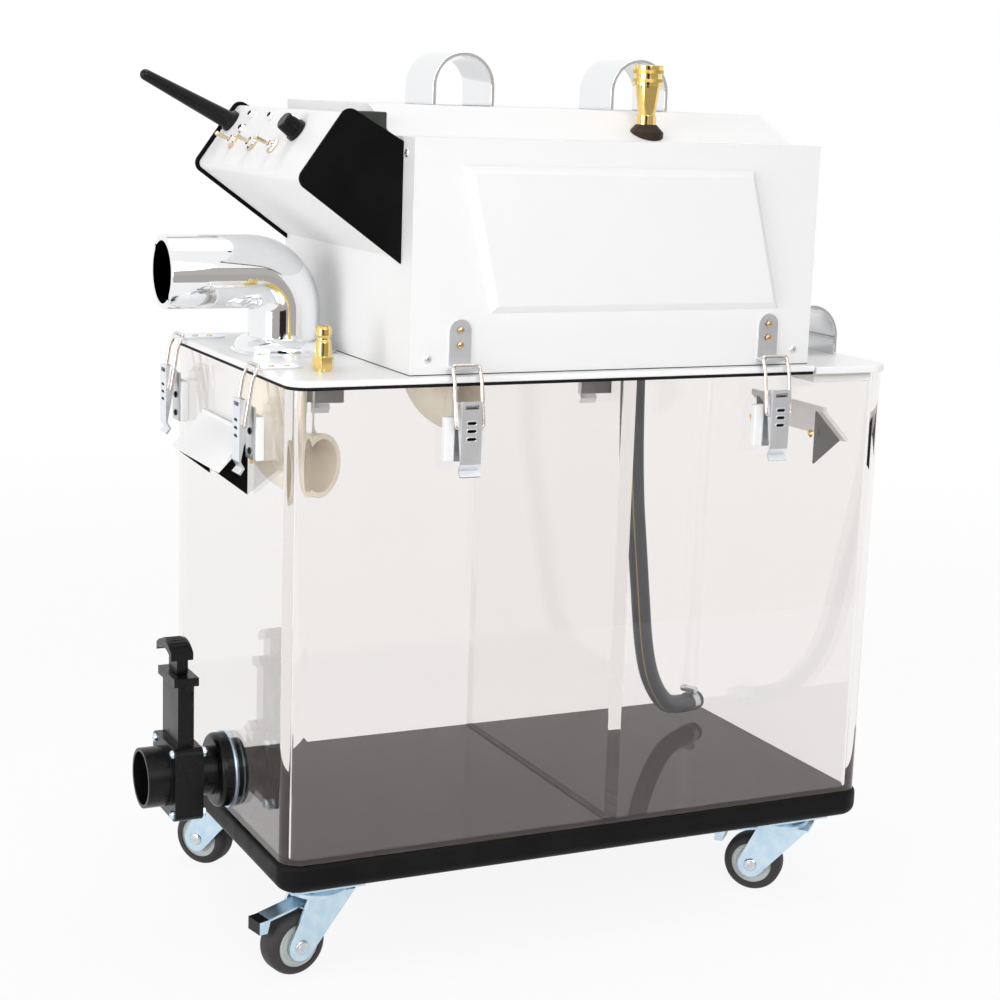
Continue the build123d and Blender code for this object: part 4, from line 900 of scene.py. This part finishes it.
def makeDrain(sizes):
    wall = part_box("tank_shell")[0].x
    axis = Vector(mounts["drain_outlet"]["pos_m"])
    bm = softCopy("drain_valve", sizes["edge"])
    for y in (-sizes["boltOut"], sizes["boltOut"]):
        for z in (axis.z - sizes["boltLow"], axis.z + sizes["boltHigh"]):
            head = placeOn((wall - sizes["far"], axis.y + y, z), (-1, 0, 0))
            domeHead(bm, head, sizes["bolt"], sizes["boltHeight"], 1)
            nut = placeOn((wall - sizes["near"], axis.y + y, z), (1, 0, 0))
            hexNut(bm, nut, sizes["nut"], sizes["nutBore"], sizes["nutHeight"], 1)
            domeHead(bm, nut, sizes["boltEnd"], sizes["boltEndHeight"], 1)
    inside, outside, thick = sizes["washer"]
    ring = [(inside, 0), (outside, 0), (outside, thick), (inside, thick)]
    spunPart(bm, ring, placeOn((wall, axis.y, axis.z), (-1, 0, 0)), 1, 64, True)
    finishNode("drain_valve", bm, "tank", "black_plastic", [mouldedBlack, zincPlate])


def makeDrainGate(sizes):
    low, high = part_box("drain_gate")
    middle = (low.x + high.x) / 2
    bm = softCopy("drain_gate", sizes["edge"])
    bend = (sizes["pullHalf"] ** 2 + sizes["arch"] ** 2) / (2 * sizes["arch"])
    for number in range(sizes["ribs"]):
        y = (number - (sizes["ribs"] - 1) / 2) * sizes["ribPitch"]
        lean = math.asin(y / bend)
        crest = Matrix.Translation((middle, y, high.z - bend + bend * math.cos(lean)))
        place = crest @ Matrix.Rotation(-lean, 4, "X")
        ribLow = (-sizes["ribHalf"], -sizes["ribHalfWidth"], -sizes["ribSunk"])
        ribHigh = (sizes["ribHalf"], sizes["ribHalfWidth"], sizes["ribProud"])
        bevelledBox(bm, ribLow, ribHigh, sizes["ribEdge"], place=place)
    finishNode("drain_gate", bm, "drain_gate", "black_plastic", [mouldedBlack])


makeDrain(drainSizes)
makeDrainGate(gateSizes)
print("inlet, housing, console, coupler, grabs and drain detailed")

# Draw latches: copper rivets on the keepers, dark screws in the bases, oval rims round the lever slots with painted
# shade inside them
latchSizes = {"keeperEdge": 0.0003, "baseEdge": 0.0002, "leverEdge": 0.0003, "pivotOut": 0.0125, "pivotDrop": 0.029,
              "wallRivets": (0.014, 0.025), "wallBack": 0.0050, "lidRivets": (0.009, 0.021), "lidLevel": -0.0018,
              "rivet": 0.0026, "rivetHeight": 0.0011, "screwDrops": (0.050, 0.065), "screwOut": 0.0075,
              "screw": 0.0028, "screwHeight": 0.0016, "slotDrops": (0.041, 0.047, 0.053), "slotOut": 0.0182,
              "slot": 0.0088, "slotWidth": 0.0038, "rim": 0.0007, "rimHeight": 0.0001}
outward = {"front": Vector((0, -1, 0)), "rear": Vector((0, 1, 0)), "end": Vector((-1, 0, 0))}
upward = Vector((0, 0, 1))


def latchOrigin(name, sizes):
    out = outward[name.split("_")[0]]
    pivot = Vector(joints[f"latch_{name}"]["pos_m"])
    return pivot - sizes["pivotOut"] * out + sizes["pivotDrop"] * upward, out


def facing(point, out):
    turn = Matrix((upward.cross(out), upward, out)).transposed().to_4x4()
    return Matrix.Translation(point) @ turn


def makeLatchFixings(sizes):
    keepers = softCopy("latch_keepers", sizes["keeperEdge"])
    bases = softCopy("latch_bases", sizes["baseEdge"])
    for name in latchNames:
        origin, out = latchOrigin(name, sizes)
        if name.startswith("end"):
            level = origin + sizes["lidLevel"] * upward
            heads = [placeOn(level - reach * out, upward) for reach in sizes["lidRivets"]]
        else:
            wall = origin - sizes["wallBack"] * out
            heads = [placeOn(wall + rise * upward, out) for rise in sizes["wallRivets"]]
        for place in heads:
            domeHead(keepers, place, sizes["rivet"], sizes["rivetHeight"], 1)
        for drop in sizes["screwDrops"]:
            place = placeOn(origin - drop * upward + sizes["screwOut"] * out, out)
            domeHead(bases, place, sizes["screw"], sizes["screwHeight"], 1)
    finishNode("latch_keepers", keepers, "top", "stainless", [leverSteel, copperRivet])
    finishNode("latch_bases", bases, "tank", "stainless", [stainless, darkSteelAndSlotShade])


def makeLever(name, sizes):
    origin, out = latchOrigin(name, sizes)
    bm = softCopy(f"latch_lever_{name}", sizes["leverEdge"])
    for drop in sizes["slotDrops"]:
        place = facing(origin - drop * upward + sizes["slotOut"] * out, out)
        ovalRim(bm, place, sizes["slot"], sizes["slotWidth"], sizes["rimHeight"], sizes["rim"], 0, 1)
    finishNode(f"latch_lever_{name}", bm, f"lever_{name}", "stainless", [leverSteel, darkSteelAndSlotShade])


makeLatchFixings(latchSizes)
for name in latchNames:
    makeLever(name, latchSizes)
print("latches detailed")

# Castors: rubber tyre on a pale hub, axle heads and a race skirt on the fork, rubber tip on the brake pedal
casterSizes = {"edge": 0.0006, "tyre": 0.025, "hub": 0.0175, "half": 0.011, "round": 0.007, "headOut": 0.0154,
               "head": 0.0058, "headHeight": 0.0019, "headSink": 0.0006, "skirt": (0.0212, 0.0232, 0.0631, 0.0668),
               "skirtEdge": 0.0008, "tip": 0.0440}
hubSide = [(0.0046, 0.0098), (0.0062, 0.0098), (0.0066, 0.0084), (0.0094, 0.0084), (0.0100, 0.0094),
           (0.0128, 0.0094), (0.0134, 0.0082), (0.0166, 0.0082), (0.0174, 0.0094)]


def makeWheel(name, sizes):
    roll = joints[f"roll_{name}"]
    place = placeOn(roll["pos_m"], roll["axis"])
    half = sizes["half"]
    bend = sizes["round"]
    middle = sizes["tyre"] - bend
    tyre = [(sizes["hub"], -half), *arc((middle, bend - half), bend, -90, 0, 8),
            *arc((middle, half - bend), bend, 0, 90, 8), (sizes["hub"], half)]
    bm = bmesh.new()
    spunPart(bm, tyre, place, 0, 64, True)
    spunPart(bm, hubSide + [(r, -out) for r, out in reversed(hubSide)], place, 1, 64, True)
    finishNode(f"caster_wheel_{name}", bm, f"wheel_{name}", "tyre_grey", [tyreRubber, hubPlastic])


def makeFork(name, sizes):
    roll = joints[f"roll_{name}"]
    axis = Vector(roll["axis"])
    bm = softCopy(f"caster_fork_{name}", sizes["edge"])
    for side in (1, -1):
        place = placeOn(Vector(roll["pos_m"]) + side * sizes["headOut"] * axis, side * axis)
        domeHead(bm, place, sizes["head"], sizes["headHeight"], 1, sizes["headSink"])
    inside, outside, low, high = sizes["skirt"]
    edge = sizes["skirtEdge"]
    swivel = joints[f"swivel_{name}"]["pos_m"]
    ring = [(inside, low), (outside, low), (outside, high - edge), (outside - edge, high), (inside, high)]
    spunPart(bm, ring, Matrix.Translation((swivel[0], swivel[1], 0)), 0, closed=True)
    finishNode(f"caster_fork_{name}", bm, f"fork_{name}", "zinc_steel", [zincPlate, screwSteelAndRecessShade])


def makePedal(name, sizes):
    swivel = Vector(joints[f"swivel_{name}"]["pos_m"])
    heading = Vector(joints[f"roll_{name}"]["pos_m"]) - swivel
    heading = Vector((heading.x, heading.y, 0)).normalized()
    bm = softCopy(f"brake_pedal_{name}", sizes["edge"])
    for face in bm.faces:
        face.material_index = int((face.calc_center_median() - swivel).dot(heading) > sizes["tip"])
    finishNode(f"brake_pedal_{name}", bm, f"pedal_{name}", "zinc_steel", [zincPlate, mouldedBlack])


for name in casterNames:
    makeWheel(name, casterSizes)
    makeFork(name, casterSizes)
for name in ("front_left", "front_right"):
    makePedal(name, casterSizes)
print("castors detailed")

# Studio: white world, pale floor, soft lamps, and grey cards that only reflections show
studio = {
    "ambient": 0.42,
    "floorHalf": 12.0,
    "floorTone": 0.9,
    "floorGlow": 0.9,
    "fade": (0.6, 2.5),
    "aim": (0.0, 0.0, 0.35),
    "lamps": {
        "sideLamp": ((-2.6, -1.0, 0.8), 1.6, 32.0),
        "frontLamp": ((-0.5, -2.8, 1.6), 1.6, 33.5),
        "topLamp": ((0.2, 0.2, 2.8), 1.8, 23.0),
    },
    "cards": {
        "floorBand": ([(-25, -1.0, 0.004), (12, -1.0, 0.004), (12, -7, 0.004), (-25, -7, 0.004)],
                      (0.45, 0.42, 0.40)),
        "greyBand": ([(-25, -7, 0), (12, -7, 0), (12, -7, 2.2), (-25, -7, 2.2)], (0.50, 0.47, 0.45)),
        "horizonStrip": ([(-25, -7, 2.2), (12, -7, 2.2), (12, -7, 2.4), (-25, -7, 2.4)], (0.08, 0.08, 0.08)),
        "greyWall": ([(4, -6, 0.9), (4, 3, 0.9), (4, 3, 4.5), (4, -6, 4.5)], (0.58, 0.60, 0.58)),
        "darkStand": ([(-1.75, -2.4, 0), (-0.8, -2.8, 0), (-0.8, -2.8, 1.5), (-1.75, -2.4, 1.5)],
                      (0.02, 0.02, 0.02)),
    },
}


def seenSocket(nodes, link):
    path = nodes.new("ShaderNodeLightPath")
    first = mathNode(nodes, "MAXIMUM")
    second = mathNode(nodes, "MAXIMUM")
    link(path.outputs["Is Camera Ray"], first.inputs[0])
    link(path.outputs["Is Glossy Ray"], first.inputs[1])
    link(first.outputs[0], second.inputs[0])
    link(path.outputs["Is Transmission Ray"], second.inputs[1])
    return second.outputs[0]


def whiteWorld(setup):
    world = bpy.data.worlds.new("studioWorld")
    scene.world = world
    world.use_nodes = True
    nodes = world.node_tree.nodes
    link = world.node_tree.links.new
    spread = rangeNode(nodes, 0, 1)
    setInputs(spread, {"To Min": setup["ambient"]})
    link(seenSocket(nodes, link), spread.inputs["Value"])
    nodes["Background"].inputs["Color"].default_value = (1, 1, 1, 1)
    link(spread.outputs["Result"], nodes["Background"].inputs["Strength"])


def paleFloor(setup):
    bm = bmesh.new()
    bmesh.ops.create_grid(bm, x_segments=1, y_segments=1, size=setup["floorHalf"])
    floor = meshObject("studioFloor", bm)
    material, nodes, link = newMaterial("paleFloor")
    matt = nodes.new("ShaderNodeBsdfDiffuse")
    matt.inputs["Color"].default_value = (*[setup["floorTone"]] * 3, 1)
    glow = nodes.new("ShaderNodeEmission")
    far = nodes.new("ShaderNodeVectorMath")  # the floor turns wholly white some way from the object
    far.operation = "LENGTH"
    fade = rangeNode(nodes, *setup["fade"])
    fade.interpolation_type = "SMOOTHSTEP"
    fade.inputs["To Min"].default_value = setup["floorGlow"]
    share = mathNode(nodes, "MULTIPLY")
    either = nodes.new("ShaderNodeMixShader")
    link(nodes.new("ShaderNodeTexCoord").outputs["Object"], far.inputs[0])
    link(far.outputs["Value"], fade.inputs["Value"])
    link(fade.outputs["Result"], share.inputs[1])
    link(seenSocket(nodes, link), share.inputs[0])
    link(share.outputs[0], either.inputs["Fac"])
    link(matt.outputs["BSDF"], either.inputs[1])
    link(glow.outputs["Emission"], either.inputs[2])
    link(either.outputs["Shader"], nodes["Material Output"].inputs["Surface"])
    floor.data.materials.append(material)


def reflectionCard(name, corners, colour):
    bm = bmesh.new()
    bm.faces.new([bm.verts.new(corner) for corner in corners])
    card = meshObject(name, bm)
    material, nodes, link = newMaterial(name)
    glow = nodes.new("ShaderNodeEmission")
    glow.inputs["Color"].default_value = (*colour, 1)
    link(glow.outputs["Emission"], nodes["Material Output"].inputs["Surface"])
    card.data.materials.append(material)
    card.visible_camera = False
    card.visible_diffuse = False
    card.visible_transmission = False
    card.visible_shadow = False


def softLamp(name, place, aim, size, power):
    data = bpy.data.lights.new(name, "AREA")
    data.shape = "DISK"
    data.size = size
    data.energy = power
    lamp = bpy.data.objects.new(name, data)
    lamp.matrix_world = placeOn(place, Vector(place) - Vector(aim))
    scene.collection.objects.link(lamp)


whiteWorld(studio)
paleFloor(studio)
for lampName, (place, size, power) in studio["lamps"].items():
    softLamp(lampName, place, studio["aim"], size, power)
for cardName, (corners, colour) in studio["cards"].items():
    reflectionCard(cardName, corners, colour)
scene.view_settings.view_transform = "Standard"
print("studio lit")
